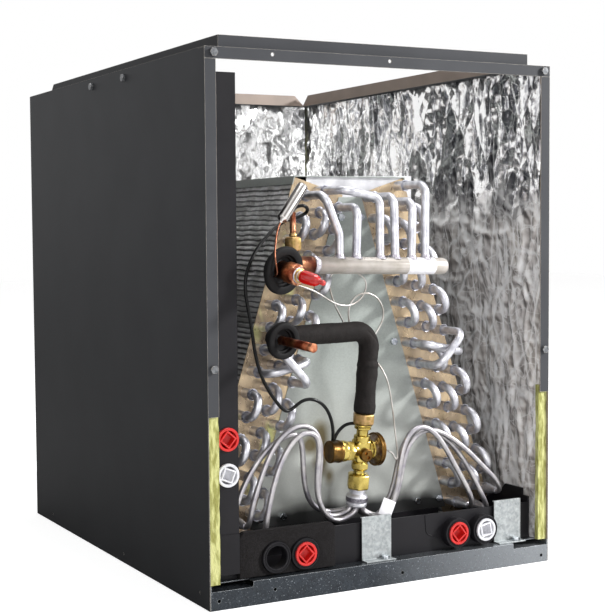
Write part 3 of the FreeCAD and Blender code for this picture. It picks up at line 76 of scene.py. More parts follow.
class CoilColours(bpy.types.PropertyGroup):
    """Base colours of the coil's finishes"""
    casing: colour_property("Casing paint", "#46474a", "Outside of the painted cabinet")
    casing_inside: colour_property("Inside coat", "#8c7e74", "Beige wash coat inside the cabinet")
    zinc: colour_property("Zinc", "#3f444a", "Galvanised base")
    plate: colour_property("Coil plate", "#a4aaa5", "Galvanised plate between the slabs")
    # Painted reflection: the tube sheets' warm tone stands in for the lining they mirror.
    sheet: colour_property("Tube sheet", "#a8967f", "Tube sheets, warm from the lining they mirror")
    foil: colour_property("Foil", "#f2f2f3", "Aluminium foil of the lining")
    fibre: colour_property("Glass fibre", "#c8c888", "Yellow glass fibre of the lining")
    pan: colour_property("Pan plastic", "#1c1b1e", "Moulded drain pan")
    foam: colour_property("Foam", "#151313", "Closed-cell foam")
    fin: colour_property("Fins", "#ffffff", "Aluminium fins")
    tube: colour_property("Tube", "#d8d8dd", "Drawn aluminium tube")
    header: colour_property("Header", "#c0bab4", "Satin aluminium header")
    copper: colour_property("Copper", "#e4ae88", "Copper line")
    brass: colour_property("Brass", "#cdb868", "Machined brass")
    nut: colour_property("Dull brass", "#b8966a", "Flare nuts")
    bronze: colour_property("Bronze", "#6e5128", "Valve cap and head")
    steel: colour_property("Steel", "#aaa5a0", "Sensing bulb")
    rubber: colour_property("Rubber", "#0e0d0e", "Grommets")
    red: colour_property("Red plastic", "#cc211d", "Cap and drain plugs")
    white: colour_property("White plastic", "#dcdce0", "White drain plugs")


class CoilSizes(bpy.types.PropertyGroup):
    """Sizes of the coil's finished pieces"""
    tube_radius: length_property("Tube radius", 4.7625, "Outside radius of the coil tubes")
    bell_radius: length_property("Bell radius", 6.9, "Flared mouth of a tube end")
    thin_radius: length_property("Distributor tube radius", 3.1, "Outside radius of a distributor tube")
    crinkle: length_property("Foil crinkle", 5.0, "How deep the foil's creases go")
    fin_pitch: length_property("Fin pitch", 2.2, "Distance from one fin to the next")
    edge: length_property("Edge", 0.35, "Rounding of folded sheet edges")


def paint(name):
    """A named colour with its alpha."""
    return (*getattr(bpy.context.scene.coil_colours, name), 1)


def length(name):
    """A named size in metres."""
    return getattr(bpy.context.scene.coil_sizes, name)


# Materials


def tint(colour):
    """A colour with its alpha, from an sRGB hex code or as it is."""
    return (*linear(colour), 1) if isinstance(colour, str) else colour


def grey(value):
    """A neutral colour."""
    return (value, value, value, 1)


def add(tree, kind, sockets=(), **settings):
    """Add a node with its settings, socket values and links."""
    node = tree.nodes.new(kind)
    for key, value in settings.items():
        setattr(node, key, value)
    for key, value in dict(sockets).items():
        if isinstance(value, bpy.types.NodeSocket):
            tree.links.new(value, node.inputs[key])
        else:
            node.inputs[key].default_value = value
    return node


def own_place(tree):
    """Each point's place in the piece's own coordinates."""
    return add(tree, "ShaderNodeTexCoord").outputs["Object"]


def split(tree, vector):
    """A vector's X, Y and Z."""
    return add(tree, "ShaderNodeSeparateXYZ", {"Vector": vector}).outputs


def mapped(tree, place, **sockets):
    """A place that is moved, turned or stretched."""
    return add(tree, "ShaderNodeMapping", {"Vector": place, **sockets}).outputs["Vector"]


def calc(tree, operation, *values):
    """A number worked out from numbers."""
    return add(tree, "ShaderNodeMath", dict(enumerate(values)), operation=operation).outputs[0]


def vector_calc(tree, operation, *values):
    """A vector worked out from vectors, or the number that a dot product or a length gives."""
    node = add(tree, "ShaderNodeVectorMath", dict(enumerate(values)), operation=operation)
    return node.outputs["Value" if operation in ("DOT_PRODUCT", "LENGTH") else "Vector"]


def remap(tree, value, span, result=(0.0, 1.0)):
    """A value carried from one span to another, and held at its ends."""
    ends = {"From Min": span[0], "From Max": span[1], "To Min": result[0], "To Max": result[1]}
    return add(tree, "ShaderNodeMapRange", {"Value": value, **ends}).outputs["Result"]


def clouds(tree, place, scale, detail=2.0, **settings):
    """Soft noise from 0 to 1."""
    sockets = {"Vector": place, "Scale": scale, "Detail": detail}
    return add(tree, "ShaderNodeTexNoise", sockets, **settings).outputs["Fac"]


def ramp(tree, factor, stops):
    """Add a colour ramp with its stops."""
    node = add(tree, "ShaderNodeValToRGB", {"Fac": factor})
    while len(node.color_ramp.elements) < len(stops):
        node.color_ramp.elements.new(0.5)
    for element, (place, colour) in zip(node.color_ramp.elements, stops):
        element.position = place
        element.color = tint(colour)
    return node.outputs["Color"]


def overlay(tree, mask, below, colour, blend_type="MIX"):
    """Lay a colour, or a socket's colour, over another where the mask is 1."""
    mixed = add(tree, "ShaderNodeMix", {0: mask}, data_type="RGBA", blend_type=blend_type)
    for index, value in ((6, below), (7, colour)):
        if isinstance(value, bpy.types.NodeSocket):
            tree.links.new(value, mixed.inputs[index])
        else:
            mixed.inputs[index].default_value = tint(value)
    return mixed.outputs[2]


def surface(name, colour, second=None, metallic=0.0, roughness=(0.4, 0.5), tone_mm=40, grain_mm=1.5,
            stretch=(1, 1, 1), bump_mm=0.0, bump_size_mm=2.0, cells=False, wear=None, coat=0.0,
            tone_sharp=0.0, specular=0.5, flake=0.72, patches=None):
    """A finish of two tones with grained roughness and a fine relief, in the object's own millimetres."""
    mat = bpy.data.materials.new(name)
    mat.use_nodes = True
    tree = mat.node_tree
    shader = tree.nodes["Principled BSDF"]
    for key, value in (("Metallic", metallic), ("Coat Weight", coat), ("Specular IOR Level", specular)):
        shader.inputs[key].default_value = value
    place = mapped(tree, own_place(tree), Scale=stretch)
    low = 0.35 + tone_sharp
    tone = ramp(tree, clouds(tree, place, 1000 / tone_mm, 4.0), [(low, grey(0)), (1 - low, grey(1))])
    result = overlay(tree, tone, colour, second or colour)
    if cells:
        cell = add(tree, "ShaderNodeTexVoronoi", {"Vector": place, "Scale": 1000 / grain_mm})
        grain = add(tree, "ShaderNodeSeparateColor", {"Color": cell.outputs["Color"]}).outputs["Red"]
        flakes = ramp(tree, grain, [(0.0, grey(flake)), (1.0, grey(1.0))])
        result = overlay(tree, 1.0, result, flakes, "MULTIPLY")
    else:
        grain = clouds(tree, place, 1000 / grain_mm)
    if patches:
        patch_colour, patch_mm, start = patches
        where = clouds(tree, place, 1000 / patch_mm, 3.0)
        mask = ramp(tree, where, [(start, grey(0)), (start + 0.08, grey(1))])
        result = overlay(tree, mask, result, patch_colour)
    if wear:
        soft = add(tree, "ShaderNodeBevel", {"Radius": 0.0006}, samples=4).outputs["Normal"]
        hard = add(tree, "ShaderNodeNewGeometry").outputs["Normal"]
        edge = vector_calc(tree, "DOT_PRODUCT", soft, hard)
        mask = ramp(tree, edge, [(0.86, grey(1)), (0.97, grey(0))])
        result = overlay(tree, mask, result, wear)
    tree.links.new(result, shader.inputs["Base Color"])
    tree.links.new(remap(tree, grain, (0.0, 1.0), roughness), shader.inputs["Roughness"])
    if bump_mm:
        relief = clouds(tree, place, 1000 / bump_size_mm, 3.0)
        bump = add(tree, "ShaderNodeBump", {"Height": relief, "Distance": bump_mm / 1000, "Strength": 1.0})
        tree.links.new(bump.outputs["Normal"], shader.inputs["Normal"])
    return mat


def opened(mat):
    """A finish's tree, its shader and the colour that it has so far."""
    tree = mat.node_tree
    shader = tree.nodes["Principled BSDF"]
    return tree, shader, shader.inputs["Base Color"].links[0].from_socket


def foil_material():
    """Aluminium foil on paper: bright hard creases high up, dull paper-grey with a brown cast lower down;
    painted light and shade on its slopes, painted highlights along its creases.
    """
    mat = surface("crinkled_aluminium_foil", paint("foil"), "#dddbdc", 0.75, (0.2, 0.36), 60, 9)
    tree, shader, _ = opened(mat)
    place = own_place(tree)
    axes = split(tree, place)
    drift = calc(tree, "MULTIPLY", clouds(tree, place, 14.0, 3.0), 0.12)
    level = calc(tree, "ADD", axes["Z"], drift)
    level = calc(tree, "ADD", level, remap(tree, axes["Y"], (0.262, 0.264)))
    high = remap(tree, level, (0.455, 0.505))
    for name, values in (("Roughness", (0.32, 0.2)), ("Metallic", (0.2, 0.85))):
        tree.links.new(remap(tree, high, (0.0, 1.0), values), shader.inputs[name])
    bend = add(tree, "ShaderNodeTexNoise", {"Vector": place, "Scale": 18.0, "Detail": 2.0}).outputs["Color"]
    bend = vector_calc(tree, "MULTIPLY", bend, (0.007, 0.007, 0.007))
    narrow = vector_calc(tree, "ADD", mapped(tree, place, Scale=(1, 1, 0.45)), bend)
    sockets = {"Vector": narrow, "Scale": 24.0, "Detail": 1.0, "Roughness": 0.3}
    folds = add(tree, "ShaderNodeTexNoise", sockets, noise_type="RIDGED_MULTIFRACTAL").outputs["Fac"]
    bump = add(tree, "ShaderNodeBump", {"Height": folds, "Distance": 0.004, "Strength": 0.7})
    relief = bump.outputs["Normal"]
    normal = relief
    ridges = []
    # Flat facets between hard creases: every cell of the foil is tipped its own way.
    for scale, tip in ((26.0, 0.5), (60.0, 0.42), (150.0, 0.26)):
        cell = add(tree, "ShaderNodeTexVoronoi", {"Vector": narrow, "Scale": scale}).outputs["Color"]
        tilt = vector_calc(tree, "SUBTRACT", cell, (0.5, 0.5, 0.5))
        much = remap(tree, high, (0.0, 1.0), (tip * 0.3, tip * 0.8))
        tilt = add(tree, "ShaderNodeVectorMath", {0: tilt, "Scale": much}, operation="SCALE")
        normal = vector_calc(tree, "NORMALIZE", vector_calc(tree, "ADD", normal, tilt.outputs["Vector"]))
        sockets = {"Vector": narrow, "Scale": scale}
        edge = add(tree, "ShaderNodeTexVoronoi", sockets, feature="DISTANCE_TO_EDGE")
        ridges.append(edge.outputs["Distance"])
    tree.links.new(normal, shader.inputs["Normal"])
    # Painted light: the bright foil is painted brightest towards the back corner and darker towards the open
    # front.
    deep = remap(tree, axes["Y"], (-0.28, 0.26), (-0.14, 0.22))
    lit = []
    # Painted light and shade: slopes that face the front, the top or across the cabinet are painted bright,
    # on both side walls alike.
    for slope, shade in ((normal, deep), (relief, 0.0)):
        across = vector_calc(tree, "DOT_PRODUCT", vector_calc(tree, "ABSOLUTE", slope), (0.38, 0, 0))
        ahead = vector_calc(tree, "DOT_PRODUCT", slope, (0, -0.96, 1.12))
        total = calc(tree, "ADD", calc(tree, "ADD", across, ahead), shade)
        lit.append(remap(tree, total, (-0.6, 1.4)))
    # Painted light and shade: how lit each slope is, turned into the bright foil's and the dull foil's
    # colour.
    bright = ramp(tree, lit[0], [(0.15, "#2c2e38"), (0.35, "#77787f"), (0.49, "#bcbcc0"), (0.6, "#ffffff")])
    dull = ramp(tree, lit[1], [(0.25, "#736e6c"), (0.4, "#a8a3a1"), (0.49, "#cfcac8"), (0.6, "#f0eeec"),
                               (0.7, "#ffffff")])
    stain = ramp(tree, clouds(tree, narrow, 26.0, 4.0), [(0.45, grey(0)), (0.7, grey(0.35))])
    dull = overlay(tree, stain, dull, "#a39483")
    # Painted highlights along the crease lines between the facets.
    painted_crease_highlights = [ramp(tree, distance, [(0.0, grey(amount)), (0.045, grey(0))])
             for distance, amount in ((ridges[0], 0.9), (ridges[1], 0.6))]
    # Long creases: a painted highlight along each.
    for stretch, scale, width, amount in (((1, 1, 0.16), 26, 0.022, 1.0), ((1, 1, 0.6), 34, 0.014, 0.7),
                                          ((1, 0.5, 1.3), 30, 0.014, 0.6)):
        field = clouds(tree, mapped(tree, place, Scale=stretch), scale)
        painted_crease_highlights.append(ramp(tree, field, [(0.5 - width, grey(0)), (0.5, grey(amount)), (0.5 + width, grey(0))]))
    for line in painted_crease_highlights:
        dull = overlay(tree, line, dull, grey(1))
        bright = overlay(tree, line, bright, grey(1))
    tree.links.new(overlay(tree, high, dull, bright), shader.inputs["Base Color"])
    return mat


def casing_material():
    """Prepainted steel: even dark grey, with painted shade that darkens the side walls towards the floor,
    pale at cut edges.
    """
    mat = surface("prepainted_steel_grey", paint("casing"), "#414245", 0.0, (0.42, 0.52), 70, 2,
                  bump_mm=0.03, bump_size_mm=1.6, wear="#cfc8bc", specular=0.08)
    tree, shader, colour = opened(mat)
    # Painted shade: faces that look sideways are drawn darker, more so towards the floor.
    facing = vector_calc(tree, "ABSOLUTE", add(tree, "ShaderNodeNewGeometry").outputs["Normal"])
    wall = remap(tree, split(tree, facing)["X"], (0.85, 0.97))
    depth = remap(tree, split(tree, own_place(tree))["Z"], (0.0, 0.58), (0.66, 0.34))
    share = calc(tree, "MULTIPLY", wall, depth)
    tree.links.new(overlay(tree, share, colour, grey(0.0)), shader.inputs["Base Color"])
    return mat


def plate_material():
    """The front plate's zinc: fine even spangle, painted light low down, a painted reflection of the pan in
    its foot, and the valve's olive painted reflection and shadow.
    """
    mat = surface("galvanised_steel_plate", paint("plate"), "#979d99", 0.25, (0.28, 0.38), 240, 1.2,
                  bump_mm=0.012, bump_size_mm=2, cells=True, flake=0.86)
    tree, shader, colour = opened(mat)
    place = own_place(tree)
    waver = clouds(tree, place, 30.0)
    level = calc(tree, "ADD", split(tree, place)["Z"], calc(tree, "MULTIPLY", waver, 0.012))
    # Painted reflection: the black pan mirrored in the plate's foot.
    foot = remap(tree, level, (0.078, 0.09), (0.92, 0.0))
    # Painted light: the plate paler low down, fading out higher up.
    glow = remap(tree, level, (0.13, 0.27), (0.4, 0.0))
    colour = overlay(tree, glow, colour, "#d2d2cd")
    # Painted reflection and shadow of the brass valve: olive patches to its left.
    for x, z, wide, tall in ((-41, 158, 15, 24), (-40, 128, 15, 26), (-56, 150, 14, 16), (-30, 112, 10, 16)):
        near = mapped(tree, place, Location=(-x / wide, 0, -z / tall), Scale=(1000 / wide, 0, 1000 / tall))
        reach = calc(tree, "ADD", vector_calc(tree, "LENGTH", near), waver)
        colour = overlay(tree, remap(tree, reach, (0.8, 1.4), (0.85, 0.0)), colour, "#5c4d20")
    tree.links.new(overlay(tree, foot, colour, "#17161a"), shader.inputs["Base Color"])
    return mat


def base_material():
    """The base frame's zinc: nearly black at the left, pale with the light it mirrors towards the right."""
    mat = surface("galvanised_steel_base", paint("zinc"), "#383c41", 0.8, (0.26, 0.46), 14, 1.2, bump_mm=0.03,
                  bump_size_mm=2, cells=True, wear="#dfe3e6", patches=("#8c9298", 1.6, 0.64))
    tree, shader, colour = opened(mat)
    # Painted reflection: the base drawn paler towards the right.
    along = remap(tree, split(tree, own_place(tree))["X"], (-0.02, 0.2), (0.0, 0.6))
    tree.links.new(overlay(tree, along, colour, "#a2a6aa"), shader.inputs["Base Color"])
    return mat


def bulb_material():
    """The bulb's stainless steel: the bright and dark stripes that a polished rod mirrors along itself."""
    mat = surface("polished_stainless_bulb", paint("steel"), None, 1.0, (0.16, 0.22), 6, 6)
    tree, shader, _ = opened(mat)
    axis = (spot(*BULB_TOP) - spot(*BULB_FOOT)).normalized()
    across = axis.cross(Vector((0, -1, 0))).normalized()
    normal = add(tree, "ShaderNodeNewGeometry").outputs["Normal"]
    facing = vector_calc(tree, "DOT_PRODUCT", normal, tuple(across))
    # Painted reflections: the stripes follow which way the surface faces.
    stripes = ramp(tree, remap(tree, facing, (-1.0, 1.0)), [
        (0.04, "#54504e"), (0.16, "#d8d4d0"), (0.3, "#8a8582"), (0.44, "#f4f1ee"), (0.55, "#e0dcd8"),
        (0.66, "#6c6866"), (0.8, "#c9c4c0"), (0.95, "#4a4644")])
    tree.links.new(stripes, shader.inputs["Base Color"])
    return mat


def fin_material(name, side):
    """Rippled fin edges: painted dark bands of shade across the slab, duller patches, and painted shade
    towards the slab's foot.
    """
    mat = surface(name, paint("fin"), "#d4d4d2", 0.3, (0.3, 0.45), 18, 1.2, tone_sharp=0.06)
    tree, shader, colour = opened(mat)
    place = own_place(tree)
    sockets = {"Vector": mapped(tree, place, Rotation=(0, side * LEAN, 0)), "Scale": math.pi / 10 / FIN_BAND,
               "Distortion": 1.6, "Detail": 2.0}
    bands = add(tree, "ShaderNodeTexWave", sockets, bands_direction="Z").outputs["Fac"]
    # Painted shade: dark bands across the fins from their ripples.
    colour = overlay(tree, 1.0, colour, ramp(tree, bands, [(0.15, grey(0.2)), (0.45, grey(1.0))]), "MULTIPLY")
    # Painted shade towards the foot of the slab.
    shade = remap(tree, split(tree, place)["Z"], (0.3, 0.4), (0.5, 0.0))
    tree.links.new(overlay(tree, shade, colour, grey(0.0)), shader.inputs["Base Color"])
    return mat


def banded_copper(name, start, way, bands):
    """Copper with the dark and red oxide bands that brazing leaves along it."""
    mat = surface(name, paint("copper"), "#8a4f3a", 1.0, (0.22, 0.42), 12, 1.0, tone_sharp=0.05)
    tree, shader, colour = opened(mat)
    along = vector_calc(tree, "DOT_PRODUCT", vector_calc(tree, "SUBTRACT", own_place(tree), start), way)
    reach = bands[-1][0]
    stops = [(place / reach, code) for place, code in bands]
    shades = ramp(tree, remap(tree, along, (0.0, reach / 1000)), stops)
    tree.links.new(overlay(tree, 0.85, colour, shades, "MULTIPLY"), shader.inputs["Base Color"])
    return mat


finishes = {}


def make_finishes():
    """Make every material once."""
    finishes.update({
        # Prepainted steel outside: even dark grey with a slight orange-peel and pale cut edges
        "casing": casing_material(),
        # Wash coat on the inner side of the same sheet: flat warm beige
        "casing_inside": surface("prepainted_steel_beige", paint("casing_inside"), "#97877c", 0.0, (0.5, 0.6),
                                 40, 2),
        # Bright aluminium sheet: soft dents that break its reflection up
        "bright_sheet": surface("bright_aluminium_sheet", "#e2e2e4", "#c4c4c8", 0.5, (0.25, 0.35), 18, 1.0,
                                bump_mm=0.4, bump_size_mm=9),
        # Galvanised steel: crystals of zinc, each with its own shade
        "base": base_material(),
        "bracket": surface("galvanised_steel_bracket", "#b6babb", "#9fa4a5", 0.7, (0.42, 0.55), 6, 2.5,
                           bump_mm=0.03, bump_size_mm=1.5, cells=True),
        "plate": plate_material(),
        # Tube sheets: wavy galvanised steel, its warm tone a painted reflection of the lining, yellower on
        # the left
        "left_sheet": surface("galvanised_steel_tube_sheet_left", paint("sheet"), "#c9b393", 0.85,
                              (0.22, 0.36), 16, 3, (1, 1, 0.5), 0.25, 14, tone_sharp=0.04,
                              patches=("#dcdc9a", 34, 0.6)),
        "sheet": surface("galvanised_steel_tube_sheet", paint("sheet"), "#c9b393", 0.9, (0.22, 0.36), 16, 3,
                         (1, 1, 0.5), 0.25, 14, tone_sharp=0.04),
        # Foil facing: hard bright creases above, dull crumpled paper-grey below
        "foil": foil_material(),
        # Glass fibre: loose yellow fibres that lie in the batt's length
        "fibre": surface("glass_fibre_batt", paint("fibre"), "#8f8e4c", 0.0, (0.85, 0.95), 4, 0.8,
                         (1, 1, 0.25), 1.2, 1.2, tone_sharp=0.06),
        # Moulded plastic: black with a faint sheen
        "pan": surface("moulded_polypropylene_black", paint("pan"), "#151417", 0.0, (0.34, 0.46), 60, 1.5,
                       bump_mm=0.02, bump_size_mm=1.2, specular=0.18),
        # Closed-cell foam: matt black with open pores where it is cut
        "foam": surface("closed_cell_foam_black", paint("foam"), "#1d1b1c", 0.0, (0.8, 0.95), 1.6, 0.9,
                        bump_mm=0.45, bump_size_mm=1.4, tone_sharp=0.1, specular=0.15),
        # Foam sleeve: the moulded skin of pipe foam, a little smoother than a cut face
        "sleeve": surface("foam_pipe_sleeve", "#1e1a19", "#161312", 0.0, (0.7, 0.85), 8, 1.0, bump_mm=0.35,
                          bump_size_mm=2.0, specular=0.2),
        # Plate fins: painted bands of light and dark from their rippled edges
        "left_fin": fin_material("aluminium_fins_left", -1),
        "right_fin": fin_material("aluminium_fins_right", 1),
        # Drawn aluminium: bright, with the dull marks of handling
        "tube": surface("drawn_aluminium_tube", paint("tube"), "#b0b0b7", 0.85, (0.32, 0.48), 9, 1.5,
                        bump_mm=0.03, bump_size_mm=2.5),
        # Thin drawn tube: greyer, with an even satin light along it
        "thin_tube": surface("drawn_aluminium_thin_tube", "#bab7b7", "#96939a", 0.9, (0.34, 0.46), 12, 1.5),
        # Header pipe: satin aluminium with a warm cast
        "header": surface("satin_aluminium_header", paint("header"), "#aca59c", 0.45, (0.4, 0.5), 14, 1.2),
        # Braze: bright flowed metal with an uneven skin
        "weld": surface("aluminium_braze", "#ccc9ce", "#a19ba5", 1.0, (0.25, 0.45), 3, 1, bump_mm=0.15,
                        bump_size_mm=1.5),
        # Machined brass: clean yellow with sharp glints
        "brass": surface("machined_brass", paint("brass"), "#a08c48", 1.0, (0.18, 0.32), 12, 1.0,
                         bump_mm=0.03, bump_size_mm=2.5),
        # Flare nuts: brass dulled by handling
        "nut": surface("dull_brass_nut", paint("nut"), "#8c7644", 1.0, (0.3, 0.45), 5, 1.0),
        # Valve cap and head: dark brown bronze
        "bronze": surface("dark_bronze", paint("bronze"), "#4a361c", 1.0, (0.26, 0.4), 8, 1.0),
        # Diaphragm dish: steel with brown heat stains
        "dish": surface("stained_steel_dish", "#8d8078", "#5e4a3c", 1.0, (0.25, 0.4), 5, 1.0),
        # Floor of a spanner hole: painted orange light that the brass throws into it
        "hole_glow": surface("brass_in_spanner_hole", "#d98a2a", "#a8641c", 0.4, (0.4, 0.5), 2, 1.0),
        # Knurled aluminium: a band of fine broken glints
        "knurl": surface("knurled_aluminium", "#8c8990", "#5f5d66", 1.0, (0.3, 0.5), 1.6, 0.7, bump_mm=0.3,
                         bump_size_mm=0.9),
        # Sensing bulb: polished steel striped with painted reflections
        "steel": bulb_material(),
        # Tinned capillary: pale and satin
        "capillary": surface("tinned_capillary", "#d6d2ce", "#9a938c", 1.0, (0.3, 0.4), 20, 1.0),
        # The same capillary near the bulb: bare copper gone brown
        "lead_copper": surface("tarnished_copper_capillary", "#8a5a44", "#5c3a2e", 1.0, (0.3, 0.4), 12, 1.0),
        # Equaliser: a black coating with a thin line of light
        "black_tube": surface("black_coated_tube", "#060606", None, 0.0, (0.25, 0.32), 20, 1.0, specular=0.2),
        # Grommets: matt black rubber
        "rubber": surface("moulded_rubber_black", paint("rubber"), "#131213", 0.0, (0.55, 0.7), 10, 1.0,
                          bump_mm=0.03, bump_size_mm=1.0, specular=0.15),
        # Drain plugs: glossy red
        "red": surface("glossy_red_plastic", paint("red"), "#b81a16", 0.0, (0.24, 0.34), 8, 1.0),
        # Dipped cap: wet-looking red with soft folds
        "red_cap": surface("dipped_red_vinyl", "#d8140f", "#c00f0c", 0.0, (0.1, 0.18), 8, 1.0, bump_mm=0.12,
                           bump_size_mm=5, coat=0.6),
        # Drain plugs: plain white
        "white": surface("white_plastic", paint("white"), "#c9c9ce", 0.0, (0.35, 0.45), 8, 1.0),
        # Blank paper of the header's label and of the tag
        "label": surface("blank_paper_label", "#ecebee", "#e0dfe4", 0.0, (0.45, 0.55), 8, 1.0),
        # Zinc-plated screws: small and very bright
        "screw": surface("zinc_plated_screw", "#d8dce0", "#9aa0a6", 1.0, (0.14, 0.26), 3, 1.0),
        # Cabinet screws: grey paint worn pale on the edges
        "casing_screw": surface("painted_screw_grey", "#77797c", "#4c4e51", 0.5, (0.35, 0.45), 3, 1.0,
                                wear="#cfc8bc"),
    })
    # Copper stubs: brown and pale oxide bands left by the brazing torch
    elbow, forward = suction_axis()
    finishes["suction_copper"] = banded_copper("brazed_copper_stub", elbow, forward, [
        (0, "#ffffff"), (14, "#fff4e4"), (22, "#8d5a45"), (25, "#e0b090"), (30, "#6d4536"), (36, "#f0d0b4"),
        (46, "#ffc8a4"), (52, "#ffffff")])
    turn, line_way = liquid_axis()
    finishes["liquid_copper"] = banded_copper("stained_copper_line", turn, line_way, [
        (0, "#ffffff"), (26, "#d8a48c"), (36, "#b98468"), (44, "#8a7a50"), (50, "#c98c78"), (58, "#96604c"),
        (66, "#c88872"), (72.6, "#5a4038"), (73.6, "#f0d0c4"), (76, "#ffe8e0")])


# Mesh tools


def settle(piece, finish, slot, *replaced):
    """Give a finished piece its material, its body and the nodes that it stands for. The slot is not used."""
    if finish:
        piece.data.materials.clear()
        piece.data.materials.append(finishes[finish])
    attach(piece, "root")
    if replaced:
        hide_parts(*replaced)
    return piece


def only(piece):
    """Select one piece and make it active."""
    if bpy.context.mode != "OBJECT":
        bpy.ops.object.mode_set(mode="OBJECT")
    bpy.ops.object.select_all(action="DESELECT")
    piece.select_set(True)
    bpy.context.view_layer.objects.active = piece


def smooth(piece, degrees=35):
    """Shade a piece smooth across gentle edges."""
    only(piece)
    bpy.ops.object.shade_smooth_by_angle(angle=math.radians(degrees))


def modify(piece, kind, **settings):
    """Add a modifier with its settings and apply it."""
    only(piece)
    modifier = piece.modifiers.new(kind.lower(), kind)
    for key, value in settings.items():
        setattr(modifier, key, value)
    bpy.ops.object.modifier_apply(modifier=modifier.name)


def copy_of(node, name):
    """A merged copy of a CAD node's mesh as a new piece."""
    piece = bpy.data.objects.new(name, nodes[node].data.copy())
    bpy.context.scene.collection.objects.link(piece)
    only(piece)
    bpy.ops.object.mode_set(mode="EDIT")
    bpy.ops.mesh.select_all(action="SELECT")
    bpy.ops.mesh.remove_doubles(threshold=0.000005)
    bpy.ops.object.mode_set(mode="OBJECT")
    return piece


def folded(node, finish, slot, width=None, inside=None):
    """A sheet piece with rounded edges, and its inside coat on the faces that look inward."""
    piece = copy_of(node, node + "_finished")
    bpy.ops.object.mode_set(mode="EDIT")
    bpy.ops.mesh.select_all(action="SELECT")
    bpy.ops.mesh.dissolve_limited(angle_limit=math.radians(1))
    bpy.ops.object.mode_set(mode="OBJECT")
    modify(piece, "BEVEL", width=width or length("edge"), segments=2, limit_method="ANGLE",
           angle_limit=math.radians(40), loop_slide=False)
    smooth(piece, 50)
    modify(piece, "WEIGHTED_NORMAL", keep_sharp=True)
    settle(piece, finish, slot, node)
    if inside:
        piece.data.materials.append(finishes["casing_inside"])
        for face in piece.data.polygons:
            if face.normal.dot(Vector(inside)) > 0.9:
                face.material_index = 1
    return piece


def turned_copy(node, finish, slot, degrees=30):
    """A turned piece, merged and shaded smooth."""
    piece = copy_of(node, node + "_finished")
    smooth(piece, degrees)
    return settle(piece, finish, slot, node)


def turned(name, rings, sides=20):
    """A turned form along Z: a circle extruded and resized ring by ring, given as radius and height in mm."""
    bpy.ops.object.select_all(action="DESELECT")
    radius, height = rings[0]
    bpy.ops.mesh.primitive_circle_add(vertices=sides, radius=radius / 1000, fill_type="NOTHING",
                                      enter_editmode=True, location=(0, 0, height / 1000))
    bpy.ops.mesh.select_mode(type="VERT")
    bpy.ops.mesh.select_all(action="SELECT")
    for next_radius, next_height in rings[1:]:
        bpy.ops.mesh.extrude_region_move(
            TRANSFORM_OT_translate={"value": (0, 0, (next_height - height) / 1000)})
        scale = next_radius / radius
        bpy.ops.transform.resize(value=(scale, scale, 1), center_override=(0, 0, next_height / 1000))
        radius, height = next_radius, next_height
    bpy.ops.object.mode_set(mode="OBJECT")
    piece = bpy.context.object
    piece.name = name
    bpy.ops.object.transform_apply(location=True, rotation=True, scale=True)
    return piece


def grid(name, columns, rows):
    """A flat unit grid, to be bent into a sheet."""
    bpy.ops.object.select_all(action="DESELECT")
    bpy.ops.mesh.primitive_grid_add(x_subdivisions=columns, y_subdivisions=rows, size=1)
    piece = bpy.context.object
    piece.name = name
    return piece


def face_outward(piece):
    """Point every face of a form outward."""
    only(piece)
    bpy.ops.object.mode_set(mode="EDIT")
    bpy.ops.mesh.select_all(action="SELECT")
    bpy.ops.mesh.normals_make_consistent(inside=False)
    bpy.ops.object.mode_set(mode="OBJECT")


def close_ends(piece):
    """Fill the open rims of a turned form and point its faces outward."""
    only(piece)
    bpy.ops.object.mode_set(mode="EDIT")
    bpy.ops.mesh.select_all(action="SELECT")
    bpy.ops.mesh.fill_holes(sides=0)
    bpy.ops.object.mode_set(mode="OBJECT")
    face_outward(piece)


def aligned(place, way):
    """The matrix that stands a form, drawn along Z, at a place and along a direction."""
    turn = Vector(way).to_track_quat("Z", "Y").to_matrix().to_4x4()
    return Matrix.Translation(place) @ turn


def repeated(model, matrices, name):
    """Copies of one model at each matrix, joined into one piece. The model is used up."""
    copies = []
    for matrix in matrices:
        twin = bpy.data.objects.new(name, model.data.copy())
        twin.data.transform(matrix)
        bpy.context.scene.collection.objects.link(twin)
        copies.append(twin)
    bpy.data.objects.remove(model)
    bpy.ops.object.select_all(action="DESELECT")
    for twin in copies:
        twin.select_set(True)
    bpy.context.view_layer.objects.active = copies[0]
    if len(copies) > 1:
        bpy.ops.object.join()
    copies[0].name = name
    return copies[0]


def tubes(name, paths, radius, kind="POLY", round_sides=6, caps=False):
    """Round tubes along paths of points, as one piece."""
    bpy.ops.object.select_all(action="DESELECT")
    bpy.ops.curve.primitive_nurbs_path_add()
    line = bpy.context.object
    line.name = name
    line.data.splines.clear()
    for path in paths:
        spline = line.data.splines.new(kind)
        spline.points.add(len(path) - 1)
        for point, place in zip(spline.points, path):
            point.co = (*place, 1)
        if kind == "NURBS":
            spline.order_u = 4
            spline.use_endpoint_u = True
            spline.resolution_u = 6
    line.data.bevel_depth = radius
    line.data.bevel_resolution = round_sides // 2
    line.data.use_fill_caps = caps
    only(line)
    bpy.ops.object.convert(target="MESH")
    piece = bpy.context.object
    for face in piece.data.polygons:
        face.use_smooth = True
    return piece


def ringed(name, rings, matrix, finish, slot, sides=40, degrees=35, replaced=(), closed=True):
    """A turned piece, closed at its ends unless it is a ring, set in place with its finish."""
    piece = turned(name, rings, sides)
    if closed:
        close_ends(piece)
    smooth(piece, degrees)
    piece.data.transform(matrix)
    return settle(piece, finish, slot, *replaced)


